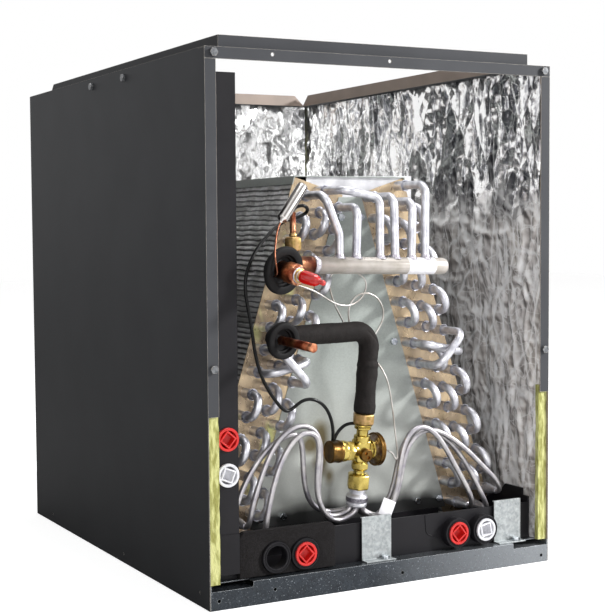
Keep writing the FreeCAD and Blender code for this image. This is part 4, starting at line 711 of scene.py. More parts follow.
def arc_path(corners, bend, steps=8):
    """Straight runs joined by arcs of one radius."""
    path = [corners[0]]
    for before, corner, after in zip(corners, corners[1:], corners[2:]):
        entry = (before - corner).normalized()
        leave = (after - corner).normalized()
        half_turn = (math.pi - entry.angle(leave)) / 2
        reach = bend * math.tan(half_turn)
        centre = corner + (entry + leave).normalized() * (bend / math.cos(half_turn))
        start, end = corner + entry * reach - centre, corner + leave * reach - centre
        for step in range(steps + 1):
            path.append(centre + start.slerp(end, step / steps) * bend)
    path.append(corners[-1])
    return path


# The coil's lattice, with the values of its CAD source

LEAN = math.radians(17.58)
FACE_PITCH = 25.4
ROW_PITCH = 22.2
SLAB_HALF_GAP = 60.3
SLAB_REFERENCE_HEIGHT = 309.6996
SHEET_FACE = 82.0
BELL_PLANE = 64.0
BEND_REACH = 41.0
REAR_SHEET = 518.0
SLAB_TOP = 5.25 * FACE_PITCH
SLAB_BOTTOM = -10.75 * FACE_PITCH
# Where the drawn bends start, inside the flared mouths
TUBE_START = BELL_PLANE + 2
# Metres from one painted dark band across the fins to the next
FIN_BAND = 0.006


def tube_spot(side, down, column, depth):
    """The centre of a tube at a depth, from its place in the lattice."""
    along = down * FACE_PITCH
    across = column * ROW_PITCH
    x = SLAB_HALF_GAP + along * math.sin(LEAN) + across * math.cos(LEAN)
    z = SLAB_REFERENCE_HEIGHT - along * math.cos(LEAN) + across * math.sin(LEAN)
    return spot(side * x, depth, z)


def column_tubes(side, column):
    """The pitches of one column's tubes."""
    first = -4.5 if (side > 0) == (column == 1) else -5.0
    return [first + step for step in range(16)]


def slab_matrix(side):
    """The frame of a slab: X across the rows, Z up along it."""
    place = Matrix.Translation(spot(side * SLAB_HALF_GAP, 0, SLAB_REFERENCE_HEIGHT))
    return place @ Matrix.Rotation(-side * LEAN, 4, "Y")


# The header's two ends as x, depth and height, its radius, and the suction elbow's x
HEADER_ENDS = ((-81.0, 24.0, 355.8), (92.5, 24.0, 351.4))
HEADER_LEFT, HEADER_RIGHT = (spot(*end) for end in HEADER_ENDS)
HEADER_RADIUS = 9.525
ELBOW_X = -141.2
# Metres from each line's turn to the grommet that it passes, and to the end of its stub
SUCTION_GROMMET_PLACE, SUCTION_TIP = 0.0261, 0.0519
LIQUID_GROMMET_PLACE, LIQUID_TIP = 0.0205, 0.076
# The port stem's x and depth
STEM_X, STEM_DEPTH = -107.5, 24.0


def heading(pan, tilt):
    """The direction of a stub that leaves the front."""
    pan, tilt = math.radians(pan), math.radians(tilt)
    return Vector((math.sin(pan) * math.cos(tilt), -math.cos(pan) * math.cos(tilt), -math.sin(tilt)))


def suction_axis():
    """Where the suction elbow turns and the way its stub points."""
    (left, depth, high), (right, _, low) = HEADER_ENDS
    slope = (high - low) / (right - left)
    return spot(ELBOW_X, depth, high + slope * (left - ELBOW_X)), heading(14.0, 11.2)


def liquid_axis():
    """Where the liquid line turns and the way its stub points."""
    return spot(-133.25, 29.5, 279.0), heading(8.0, 4.8)


# Operators, one for each piece or group of like pieces


class PieceOperator:
    """What every operator of this add-on shares"""
    bl_options = {"REGISTER", "UNDO"}


class COIL_OT_cabinet(PieceOperator, bpy.types.Operator):
    """Finish the painted cabinet panels and the top rail"""
    bl_idname = "coil.cabinet"
    bl_label = "Cabinet"

    def execute(self, context):
        folded("left_side_panel", "casing", "casing_paint", inside=(1, 0, 0))
        folded("right_side_panel", "casing", "casing_paint", inside=(-1, 0, 0))
        folded("back_panel", "casing", "casing_paint", inside=(0, -1, 0))
        folded("top_front_rail", "casing", "casing_paint", inside=(0, 1, 0))
        return {"FINISHED"}


class COIL_OT_base(PieceOperator, bpy.types.Operator):
    """Finish the galvanised base and the two pan brackets"""
    bl_idname = "coil.base"
    bl_label = "Base and brackets"

    def execute(self, context):
        folded("base_frame", "base", "galvanised_steel")
        folded("centre_bracket", "bracket", "galvanised_steel", 0.0003)
        folded("right_bracket", "bracket", "galvanised_steel", 0.0003)
        return {"FINISHED"}


def crease(place, sharpness):
    """A crease along the line where a noise crosses zero, from 0 beside it to 1 on it."""
    return max(0.0, 1 - abs(noise.noise(place)) * sharpness)


def foil_depth(kind, u, v, seed):
    """How far the foil sinks at a place on a wall, from 0 to 1. u and v are millimetres."""
    lift = Vector((seed * 31.7, seed * 17.3, seed * 5.1))
    swell = noise.noise(Vector((u / 90, v / 130, 0)) + lift) * 0.5 + 0.5
    wander = noise.noise(Vector((u / 60, v / 60, 5)) + lift) * 18
    upright = crease(Vector(((u + wander) / 30, v / 210, 3)) + lift, 5.5)
    upright_thin = crease(Vector(((u + wander) / 15, v / 120, 9)) + lift, 4.5)
    skew = crease(Vector(((u + v * 0.45) / 48, (v - u * 0.3) / 80, 7)) + lift, 6)
    level = crease(Vector((u / 130, v / 42, 13)) + lift, 8)
    crumple = crease(Vector((u / 17, v / 22, 11)) + lift, 3.5)
    fine = crease(Vector((u / 8, v / 9, 17)) + lift, 3)
    if kind == "back":
        height = 0.25 * swell + 0.2 * upright + 0.22 * skew + 0.25 * crumple + 0.12 * fine + 0.1 * level
    else:
        high = max(0.0, min(1.0, (v - 300 + wander * 3) / 130))
        fold = max(0.0, 1 - abs(v - 366 - wander * 1.6) / 9) * 0.3 if 60 < u < 230 else 0.0
        height = 0.22 * swell + (0.22 + 0.24 * high) * upright + (0.12 + 0.12 * high) * upright_thin
        height += (0.24 * skew + 0.22 * (1 - high) * level + (0.22 - 0.06 * high) * crumple + 0.16 * fine
                   + fold)
    return 1 - max(0.0, min(1.0, height))


def lining(node, kind, corner, along, inward, width, height, seed, step=2.5):
    """One foil-faced batt's foil, crinkled, with its rim turned back to the fibre."""
    foil = grid(node + "_foil", int(width / step), int(height / step))
    deep = length("crinkle")
    for vertex in foil.data.vertices:
        u, v = (vertex.co.x + 0.5) * width, (vertex.co.y + 0.5) * height
        sink = foil_depth(kind, u, v, seed) * deep + 0.0002
        vertex.co = corner + along * (u / 1000) + Vector((0, 0, v / 1000)) - inward * sink
    only(foil)
    bpy.ops.object.mode_set(mode="EDIT")
    bpy.ops.mesh.select_mode(type="EDGE")
    bpy.ops.mesh.select_all(action="DESELECT")
    bpy.ops.mesh.select_non_manifold()
    bpy.ops.mesh.extrude_region_move(TRANSFORM_OT_translate={"value": inward * -0.0015})
    bpy.ops.object.mode_set(mode="OBJECT")
    face_outward(foil)
    if foil.data.polygons[len(foil.data.polygons) // 3].normal.dot(inward) < 0:
        foil.data.flip_normals()
    smooth(foil, 70)
    settle(foil, "foil", "foil_batt", node)


def batt(node, name, box_low, box_high, cells):
    """The glass fibre of a batt, with a soft uneven surface."""
    bpy.ops.object.select_all(action="DESELECT")
    centre = (box_low + box_high) / 2
    bpy.ops.mesh.primitive_cube_add(size=1, location=centre)
    piece = bpy.context.object
    piece.name = name
    piece.scale = box_high - box_low
    bpy.ops.object.transform_apply(location=True, rotation=True, scale=True)
    bpy.ops.object.mode_set(mode="EDIT")
    bpy.ops.mesh.select_all(action="SELECT")
    bpy.ops.mesh.subdivide(number_cuts=cells)
    bpy.ops.object.mode_set(mode="OBJECT")
    for vertex in piece.data.vertices:
        p = vertex.co * 1000
        push = noise.noise(Vector((p.x / 3, p.y / 3, p.z / 7))) * 0.6 + noise.noise(p / 17) * 0.9
        inner = vertex.co - centre
        away = Vector((math.copysign(1, inner.x), math.copysign(1, inner.y), 0))
        vertex.co -= away * (abs(push) * 0.0008)
    smooth(piece, 60)
    return settle(piece, "fibre", "foil_batt", node)


class COIL_OT_lining(PieceOperator, bpy.types.Operator):
    """Make the crinkled foil lining and its glass fibre"""
    bl_idname = "coil.lining"
    bl_label = "Foil lining"

    def execute(self, context):
        # Millimetres: the lining's height and how far its foil stands from the middle
        up, inner = 554.0, 208.55
        x_axis, y_axis = Vector((1, 0, 0)), Vector((0, 1, 0))
        lining("right_insulation", "right", spot(inner, 3.0, 26.2), y_axis, -x_axis, 549.0, up - 0.6, 1)
        lining("left_insulation", "left", spot(-inner, 3.0, 26.2), y_axis, x_axis, 541.0, up - 0.6, 2, 4.0)
        lining("back_insulation", "back", spot(-inner, 545.1, 26.2), x_axis, -y_axis, 417.1, up - 0.6, 3)
        for node, side in (("left_insulation", -1), ("right_insulation", 1)):
            near, far = sorted((side * 221.2, side * 213.9))
            low, high = spot(near, 2.2, 26.2), spot(far, 557.5, 579.5)
            batt(node, node + "_fibre", low, high, 6)
            near, far = sorted((side * 221.1, side * 208.8))
            strip_low, strip_high = spot(near, 2.1, 26.3), spot(far, 8.0, 210.0)
            batt(node, node + "_fibre_edge", strip_low, strip_high, 40)
        low, high = spot(-208.4, 551.0, 26.2), spot(208.4, 557.6, 579.5)
        batt("back_insulation", "back_insulation_fibre", low, high, 6)
        return {"FINISHED"}


class COIL_OT_fins(PieceOperator, bpy.types.Operator):
    """Make the two packs of rippled plate fins"""
    bl_idname = "coil.fins"
    bl_label = "Fins"

    def execute(self, context):
        # Millimetres from crest to crest of a fin's ripple, and the steps that draw one
        ripple, steps = 6.35, 4
        tall = SLAB_TOP - SLAB_BOTTOM
        for name, side in (("left", -1), ("right", 1)):
            fin = grid(name + "_fins", 1, int(tall / ripple * steps))
            for vertex in fin.data.vertices:
                z = SLAB_BOTTOM + (vertex.co.y + 0.5) * tall
                wave = 0.8 * math.sin(2 * math.pi * z / ripple)
                x = side * ROW_PITCH + vertex.co.x * ROW_PITCH * 3
                vertex.co = Vector((x, SHEET_FACE + 3.0 + wave, z)) / 1000
            pitch = length("fin_pitch")
            count = int((REAR_SHEET - SHEET_FACE - 5) / 1000 / pitch)
            modify(fin, "ARRAY", count=count, use_relative_offset=False, use_constant_offset=True,
                   constant_offset_displace=(0, pitch, 0))
            crush(fin, side)
            fin.data.transform(slab_matrix(side))
            settle(fin, name + "_fin", "fins", name + "_fin_pack")
        return {"FINISHED"}


def crush(fin, side):
    """Push the fins' outer edges aside in a few bruised patches."""
    for vertex in fin.data.vertices:
        if side * vertex.co.x > ROW_PITCH * 2 / 1000:
            p = vertex.co * 1000
            bruise = noise.noise(Vector((p.y / 26, p.z / 16, side * 4)))
            if bruise > 0.12:
                vertex.co.x -= side * (bruise - 0.12) * 0.006
                vertex.co.y += noise.noise(Vector((p.y / 5, p.z / 7, 9))) * 0.0022


class COIL_OT_plates(PieceOperator, bpy.types.Operator):
    """Finish the tube sheets, the end plates and the apex cover"""
    bl_idname = "coil.plates"
    bl_label = "Plates"

    def execute(self, context):
        for side in ("left", "right"):
            finish = "left_sheet" if side == "left" else "sheet"
            folded(f"{side}_front_tube_sheet", finish, "galvanised_steel", 0.0002)
            folded(f"{side}_rear_tube_sheet", "sheet", "galvanised_steel", 0.0002)
        for node in ("front_delta_plate", "rear_delta_plate", "apex_cover"):
            folded(node, "plate", "galvanised_steel", 0.0002)
        # The bright tab that stands up from the apex cover, a little wavy
        tab = grid("apex_cover_tab", 16, 4)
        for vertex in tab.data.vertices:
            across, up = vertex.co.x + 0.5, vertex.co.y + 0.5
            wave = noise.noise(Vector((across * 4, up * 1.5, 2)))
            vertex.co = spot(-56 + 142 * across, 84.2 + wave * 1.2, 424 + (30 + 2 * across) * up)
        modify(tab, "SOLIDIFY", thickness=0.0006)
        smooth(tab, 60)
        settle(tab, "bright_sheet", "galvanised_steel")
        return {"FINISHED"}


def bells(side, places):
    """Flared tube ends at the given lattice places, as one piece."""
    r, bell = length("tube_radius") * 1000, length("bell_radius") * 1000
    model = turned("bell", [
        (r + 0.8, 0), (r + 0.8, 12.5), (r + 1.1, 14.5), (bell - 0.4, 16.6), (bell, 18.0), (bell - 0.3, 18.7),
        (bell - 0.9, 18.5), (r + 0.4, 16.5), (r - 0.4, 15.5),
    ], 18)
    smooth(model, 50)
    matrices = [aligned(tube_spot(side, down, column, SHEET_FACE), (0, -1, 0)) for column, down in places]
    return repeated(model, matrices, f"{'left' if side < 0 else 'right'}_tube_bells")


# The pair of tubes in the outer columns that the crossing bends take
CROSSED_PAIR = 7


class COIL_OT_bends(PieceOperator, bpy.types.Operator):
    """Make the return bends, the crossing bends and the hairpin ends"""
    bl_idname = "coil.bends"
    bl_label = "Bends"

    def execute(self, context):
        radius = length("tube_radius")
        # Half of the pitch in metres, a hair less so that both arcs of a bend fit
        bend = FACE_PITCH / 2 / 1000 * 0.9995
        for name, side in (("left", -1), ("right", 1)):
            paths = []
            places = []
            for column in (0, 1, 2):
                downs = column_tubes(side, column)
                places += [(column, down) for down in downs]
                for upper in range(1, 14, 2):
                    if column != 1 and upper == CROSSED_PAIR:
                        continue
                    first = tube_spot(side, downs[upper], column, TUBE_START)
                    second = tube_spot(side, downs[upper + 1], column, TUBE_START)
                    crest = BEND_REACH + radius * 1000
                    out = Vector((0, (crest - TUBE_START) / 1000, 0))
                    paths.append(arc_path([first, first + out, second + out, second], bend, 7))
            bends = tubes(f"{name}_return_bends_finished", paths, radius, round_sides=8)
            settle(bends, "tube", "tube_aluminium", f"{name}_return_bends")
            settle(bells(side, places), "tube", "tube_aluminium", f"{name}_return_bends")
            inner, outer = column_tubes(side, 0), column_tubes(side, 2)
            paths = []
            for inner_step, outer_step, reach in ((0, 1, 46.5), (1, 0, 58.0)):
                first = tube_spot(side, inner[CROSSED_PAIR + inner_step], 0, TUBE_START)
                second = tube_spot(side, outer[CROSSED_PAIR + outer_step], 2, TUBE_START)
                out = Vector((0, (SHEET_FACE - reach - TUBE_START) / 1000, 0))
                paths.append(arc_path([first, first + out, second + out, second], 0.014, 7))
            crossing = tubes(f"{name}_crossing_bends_finished", paths, radius, round_sides=8)
            settle(crossing, "tube", "tube_aluminium", f"{name}_crossing_bends")
            paths = []
            for column in (0, 1, 2):
                downs = column_tubes(side, column)
                for upper in range(0, 16, 2):
                    first = tube_spot(side, downs[upper], column, REAR_SHEET)
                    second = tube_spot(side, downs[upper + 1], column, REAR_SHEET)
                    out = Vector((0, (19.8 - radius * 1000) / 1000, 0))
                    paths.append(arc_path([first, first + out, second + out, second], bend, 5))
            rear = tubes(f"{name}_hairpin_ends_finished", paths, radius, round_sides=6)
            settle(rear, "tube", "tube_aluminium", f"{name}_hairpin_ends")
        return {"FINISHED"}


# Each feeder's side, column and place on the header
FEEDERS = [(-1, 2, -49.55), (-1, 0, -27.95), (-1, 1, 3.15), (1, 0, 23.45), (1, 1, 44.85), (1, 2, 63.65)]


def on_stem(height):
    """The matrix that stands a form upright on the port stem."""
    return aligned(spot(STEM_X, STEM_DEPTH, height), (0, 0, 1))


def header_point(x):
    """The header's centre line at an x in millimetres."""
    share = (x / 1000 - HEADER_LEFT.x) / (HEADER_RIGHT.x - HEADER_LEFT.x)
    return HEADER_LEFT.lerp(HEADER_RIGHT, share)


class COIL_OT_header(PieceOperator, bpy.types.Operator):
    """Make the suction header with its feeders, brazed feet and blank label"""
    bl_idname = "coil.header"
    bl_label = "Header and feeders"

    def execute(self, context):
        turned_copy("suction_header", "header", "tube_aluminium", 40)
        paths = []
        feet = []
        for side, column, foot_x in FEEDERS:
            start = tube_spot(side, column_tubes(side, column)[0], column, TUBE_START)
            foot = header_point(foot_x)
            turn = Vector((start.x, HEADER_LEFT.y, start.z))
            last = turn
            corners = [start, turn, foot]
            if (side, column) == (-1, 2):
                last = Vector((foot.x, foot.y, foot.z + 0.034))
                corners = [start, turn, last, foot]
            elif (side, column) == (-1, 1):
                last = Vector((foot.x, foot.y, start.z - 0.008))
                corners = [start, turn, last, foot]
            paths.append(arc_path(corners, 0.012, 7))
            feet.append((foot, (last - foot).normalized()))
        settle(tubes("feeder_tubes_finished", paths, length("tube_radius"), round_sides=10), "tube",
               "tube_aluminium", "feeder_tubes")
        model = turned("foot", [(7.4, 7.6), (6.6, 9.0), (5.6, 10.3), (4.9, 12.2), (4.76, 13.4)], 20)
        smooth(model, 60)
        fillets = repeated(model, [aligned(foot, way) for foot, way in feet], "feeder_braze")
        settle(fillets, "weld", "tube_aluminium")
        way = (HEADER_RIGHT - HEADER_LEFT).normalized()
        # The label's sheet, round one side of the header
        label = turned("header_label", [(HEADER_RADIUS + 0.08, 0), (HEADER_RADIUS + 0.12, 0.4),
                                        (HEADER_RADIUS + 0.12, 36.1), (HEADER_RADIUS + 0.08, 36.5)], 48)
        only(label)
        bpy.ops.object.mode_set(mode="EDIT")
        bpy.ops.mesh.select_all(action="SELECT")
        bpy.ops.mesh.bisect(plane_co=(-0.0015, 0, 0), plane_no=(1, 0, 0), clear_outer=True)
        bpy.ops.object.mode_set(mode="OBJECT")
        label.data.transform(aligned(header_point(37.0), way))
        smooth(label)
        settle(label, "label", "tube_aluminium")
        return {"FINISHED"}


def grommet(name, centre, forward, radius, bore, replaced):
    """A rubber panel grommet: a wide flat ring and a stepped well round the pipe."""
    ringed(name, [
        (radius * 0.8, -6), (radius * 0.8, -1.2), (radius * 0.985, 0), (radius, 0.8), (radius, 4.2),
        (radius * 0.975, 5.4), (radius * 0.93, 6), (radius * 0.7, 6), (radius * 0.67, 5.6),
        (radius * 0.65, 4), (radius * 0.64, 1.8), (radius * 0.57, 1.4), (radius * 0.545, -1.5),
        (bore + 1.6, -1.8), (bore + 0.3, -1.0), (bore + 0.25, -5.5),
    ], aligned(centre, forward), "rubber", "grommet_rubber", 56, 40, (replaced,))


class COIL_OT_suction(PieceOperator, bpy.types.Operator):
    """Finish the suction stub, its service core and cap, the grommets and the bulb"""
    bl_idname = "coil.suction"
    bl_label = "Suction stub"

    def execute(self, context):
        corner, forward = suction_axis()
        tip = aligned(corner + forward * SUCTION_TIP, forward)
        turned_copy("suction_stub", "suction_copper", "copper")
        ringed("suction_stub_end", [
            (9.6, -17.5), (10.4, -16.6), (11.2, -15.2), (11.3, -12), (11.35, -3.2), (11.1, -1.6),
            (10.3, -0.4), (9.2, 0.1), (8.4, 0.2),
        ], tip, "suction_copper", "copper", 48, 60)
        ringed("suction_braze", [
            (8.5, -0.2), (8.7, 0.6), (8.2, 1.4), (7.2, 1.9), (6.2, 2.4), (5.6, 3.2), (5.1, 3.4),
        ], tip, "weld", "copper", 32, 60)
        turned_copy("suction_core", "nut", "brass")
        cap = turned("suction_cap_finished", [
            (6.0, 6.6), (6.9, 7.2), (7.1, 9), (7.15, 13), (6.95, 18), (6.7, 22), (6.5, 25), (5.9, 27.6),
            (4.6, 29.6), (3.3, 31), (2.85, 32.4), (2.95, 34), (3.1, 35.6), (3.0, 37.2), (2.3, 38.5),
            (1.1, 39.1), (0.2, 39.2),
        ], 32)
        close_ends(cap)
        for vertex in cap.data.vertices:
            p = vertex.co * 1000
            share = max(0.0, min(1.0, (p.z - 14) / 10)) * max(0.0, min(1.0, (39 - p.z) / 4))
            fold = noise.noise(Vector((p.x / 3.5, p.y / 3.5, p.z / 11))) * 0.9
            vertex.co -= Vector((p.x, p.y, 0)).normalized() * (abs(fold) * share * 1.3 / 1000)
        smooth(cap, 80)
        cap.data.transform(tip)
        settle(cap, "red_cap", "red_plastic", "suction_cap")
        grommet("suction_grommet_finished", corner + forward * SUCTION_GROMMET_PLACE, forward, 25.75, 9.525,
                "suction_grommet")
        corner, forward = liquid_axis()
        grommet("liquid_grommet_finished", corner + forward * LIQUID_GROMMET_PLACE, forward, 20.0, 4.6,
                "liquid_grommet")
        way = (HEADER_RIGHT - HEADER_LEFT).normalized()
        ringed("header_joint", [
            (9.6, -3.2), (10.4, -2.6), (11.0, -1.2), (11.0, 0.6), (10.4, 2.2), (9.7, 3.0), (9.55, 3.4),
        ], aligned(HEADER_LEFT, way), "weld", "tube_aluminium", 40, 60)
        foot = spot(*BULB_FOOT)
        axis = (spot(*BULB_TOP) - foot).normalized()
        ringed("sensing_bulb_finished", [
            (1.3, -3.4), (1.9, -2.6), (2.1, -1.0), (3.6, 0.2), (5.2, 1.0), (6.0, 2.0), (6.2, 3.2),
            (6.2, 46.6), (6.05, 47.6), (5.7, 48.4), (5.9, 49.2), (5.4, 49.9), (4.8, 50.0), (4.4, 49.2),
            (0.2, 49.2),
        ], aligned(foot, axis), "steel", "bright_steel", 40, 35, ("sensing_bulb",))
        turned_copy("port_stem", "header", "copper")
        ringed("port_stem_braze", [
            (6.2, 9.0), (5.6, 10.4), (4.8, 11.6), (4.72, 13.5),
        ], on_stem(356.3), "weld", "copper", 24, 60)
        turned_copy("port_tube", "suction_copper", "copper")
        ringed("port_tube_collar", [
            (3.3, 0), (4.4, 0.6), (4.4, 2.2), (3.6, 3.4), (3.3, 4.2),
        ], on_stem(387.0), "nut", "copper", 24, 50)
        hexagon("flare_nut_finished", on_stem(372.0), 17.5, [
            (-1.2, 0), (0, 1.2), (0, 12.6), (-1.4, 14.2), (-2.6, 15.0),
        ], 30, "nut", "flare_nut")
        return {"FINISHED"}


def hexagon(name, where, flats, steps, turn, finish, replaced=None):
    """A hexagonal nut with turned chamfers. Each step is a change of radius and a height."""
    corner_radius = flats / math.sqrt(3)
    piece = turned(name, [(corner_radius + change, height) for change, height in steps], 6)
    close_ends(piece)
    modify(piece, "BEVEL", width=0.0005, segments=2, limit_method="ANGLE", angle_limit=math.radians(25))
    smooth(piece, 50)
    piece.data.transform(where @ Matrix.Rotation(math.radians(turn), 4, "Z"))
    return settle(piece, finish, "brass", *([replaced] if replaced else []))


class COIL_OT_liquid(PieceOperator, bpy.types.Operator):
    """Finish the liquid line and its foam sleeve"""
    bl_idname = "coil.liquid"
    bl_label = "Liquid line"

    def execute(self, context):
        turned_copy("liquid_line", "liquid_copper", "copper")
        turn, forward = liquid_axis()
        tip = aligned(turn + forward * LIQUID_TIP, forward)
        ringed("liquid_line_end", [
            (4.6, -49), (4.82, -48), (4.82, -3.4), (4.5, -3.0), (4.5, -2.5), (4.85, -2.1), (4.85, -1.0),
            (4.5, -0.3), (3.8, 0), (2.6, 0.05), (0.2, 0.05),
        ], tip, "liquid_copper", "copper", 32, 40)
        sleeve = copy_of("liquid_line_foam", "foam_sleeve")
        modify(sleeve, "REMESH", mode="VOXEL", voxel_size=0.0012)
        elbow = spot(-6.85, 29.5, 281.5)
        for vertex in sleeve.data.vertices:
            p = vertex.co * 1000
            z = p.z
            push = noise.noise(Vector((p.x / 9, p.y / 9, p.z / 9))) * 0.5 + noise.noise(p / 3.0) * 0.22
            # Two swells and a pinch along the upright part
            push += 0.9 * math.exp(-((z - 233) / 4.5) ** 2) + 1.3 * math.exp(-((z - 200) / 7) ** 2)
            push -= 0.7 * math.exp(-((z - 247) / 2.5) ** 2)
            # The groove of the mitred elbow
            corner = (vertex.co - elbow) * 1000
            mitre = abs(corner.x + 4 + (corner.z + 4))
            if corner.length < 24 and corner.x < 6 and corner.z < 0:
                push -= 1.0 * math.exp(-(mitre / 1.6) ** 2)
            vertex.co += vertex.normal * (push / 1000)
            # The lower end, drawn down towards the inlet nut
            if z < 215:
                vertex.co.z -= 0.0055 * (215 - z) / 21
        smooth(sleeve, 60)
        settle(sleeve, "sleeve", "foam", "liquid_line_foam")
        return {"FINISHED"}


class COIL_OT_valve(PieceOperator, bpy.types.Operator):
    """Make the expansion valve with its nuts, cap, head and distributor"""
    bl_idname = "coil.valve"
    bl_label = "Expansion valve"

    def execute(self, context):
        left = valve_frame(BODY_MIDDLE) @ Matrix.Rotation(math.radians(-90), 4, "Y")
        right = valve_frame(BODY_MIDDLE) @ Matrix.Rotation(math.radians(90), 4, "Y")
        front = valve_frame(BODY_MIDDLE + 3) @ Matrix.Rotation(math.radians(-90), 4, "X")
        top = valve_frame(0)
        hexagon("inlet_nut_finished", top, 22.2, [
            (-1.5, -0.8), (0, 0.6), (0, 10.6), (-1.3, 11.8), (-2.4, 12.2),
        ], 27, "nut", "inlet_nut")
        ringed("valve_neck", [
            (8.2, 11.8), (9.9, 12.4), (10.2, 13.4), (9.6, 14.4), (8.5, 14.8), (8.5, 15.4), (9.5, 15.8),
            (9.5, 17.0), (8.0, 18.0), (6.6, 18.6), (6.6, 24.0), (7.4, 24.8), (8.9, 25.2), (9.2, 26.4),
            (9.2, 33),
        ], top, "brass", "brass", 40, 40, ("expansion_valve",))
        bpy.ops.object.select_all(action="DESELECT")
        bpy.ops.mesh.primitive_cube_add(size=1)
        block = context.object
        block.name = "valve_block"
        block.scale = (0.0185, 0.0185, 0.0265)
        bpy.ops.object.transform_apply(location=True, rotation=True, scale=True)
        modify(block, "BEVEL", width=0.0042, segments=4)
        smooth(block, 40)
        block.data.transform(valve_frame(BODY_MIDDLE + 0.5))
        settle(block, "brass", "brass")
        ringed("valve_left_arm", [
            (8.8, 3), (9.4, 8), (9.4, 11.5), (10.6, 12.6), (10.8, 13.4),
        ], left, "brass", "brass", 40, 50)
        hexagon("valve_left_hex", left, 20.6, [
            (-1.4, 11.6), (0, 12.8), (0, 20.4), (-1.5, 21.8),
        ], 10, "brass")
        ringed("valve_left_collar", [
            (10.4, 20.4), (11.6, 21.2), (11.9, 22.2), (11.9, 27.2), (11.2, 28.2),
        ], left, "brass", "brass", 40, 40)
        ringed("stem_cap_finished", [
            (11.4, 27.6), (12.5, 28.2), (12.8, 29.2), (12.8, 31.4), (12.2, 32.2), (12.2, 38.6), (12.6, 39.4),
            (12.7, 40.8), (12.1, 41.8), (11.4, 42.0), (11.1, 41.4), (0.2, 41.2),
        ], left, "bronze", "bronze", 48, 30, ("stem_cap",))
        ringed("valve_right_arm", [
            (8.8, 3), (9.4, 8), (9.4, 10.8), (11.0, 11.6), (11.2, 13.4), (10.2, 14.4), (9.4, 15.6),
        ], right, "brass", "brass", 40, 40)
        ringed("diaphragm_dish", [
            (9.2, 14.6), (10.4, 15.0), (11.2, 15.9), (14.6, 16.6), (17.2, 17.4), (18.2, 18.2),
        ], right, "dish", "bronze", 56, 40)
        ringed("diaphragm_head_finished", [
            (17.0, 17.2), (17.8, 16.6), (18.6, 16.7), (19.0, 17.3), (19.0, 18.7), (18.3, 19.3), (18.3, 20.0),
            (18.9, 20.6), (18.9, 21.9), (18.2, 22.5), (15, 22.8), (10, 23.6), (6, 24), (0.2, 24),
        ], right, "bronze", "bronze", 56, 30, ("diaphragm_head",))
        boss = turned("valve_boss", [(7.4, 6), (7.5, 13.4), (7.1, 14.2), (6.6, 14.5), (0.2, 14.5)], 40)
        close_ends(boss)
        holes = [Matrix.Rotation(math.radians(35), 4, "Z") @ Matrix.Translation((0, shift / 1000, 0))
                 for shift in (-3.0, 3.0)]
        for hole in holes:
            drill = turned("drill", [(1.9, 11.6), (1.9, 15.5)], 20)
            close_ends(drill)
            drill.data.transform(hole)
            modify(boss, "BOOLEAN", operation="DIFFERENCE", object=drill)
            bpy.data.objects.remove(drill)
        smooth(boss, 30)
        boss.data.transform(front)
        settle(boss, "bronze", "brass")
        # Each hole's floor carries painted orange light from the brass.
        for name, hole in zip(("spanner_hole_lower", "spanner_hole_upper"), holes):
            floor = turned(name, [(1.85, 12.0), (0.2, 12.0)], 20)
            floor.data.transform(hole)
            floor.data.transform(front)
            settle(floor, "hole_glow", "brass")
        hexagon("valve_lower_hex", top, 18.0, [
            (-2.6, 52), (-0.6, 56.0), (0, 57.0), (0, 62.6), (-1.6, 64.2), (-2.6, 64.6),
        ], 27, "brass")
        ringed("valve_lower_neck", [
            (7.6, 62), (6.3, 64.9), (6.2, 67.2), (6.8, 69.4),
        ], top, "brass", "brass", 32, 40)
        hexagon("outlet_nut_finished", top, 23.0, [
            (-4.2, 68.3), (-1.9, 68.9), (0, 70.8), (0, 85.0), (-1.2, 86.4), (-2.2, 86.6),
        ], 27, "brass", "outlet_nut")
        ringed("distributor_finished", [
            (9.4, 86.3), (9.7, 86.8), (9.7, 88.2), (9.0, 88.8), (9.0, 92.0), (9.9, 92.8), (12.0, 95.0),
            (12.3, 95.6), (12.3, 100.6), (11.7, 101.2), (11.6, 102.0), (12.0, 102.6), (12.0, 105.2),
            (11.2, 106.3), (0.2, 106.4),
        ], top, "tube", "tube_aluminium", 48, 30, ("distributor",))
        ringed("distributor_knurl", [(12.0, 95.4), (12.5, 95.9), (12.5, 100.3), (12.0, 100.8)], top, "knurl",
               "tube_aluminium", 72, 40)
        return {"FINISHED"}


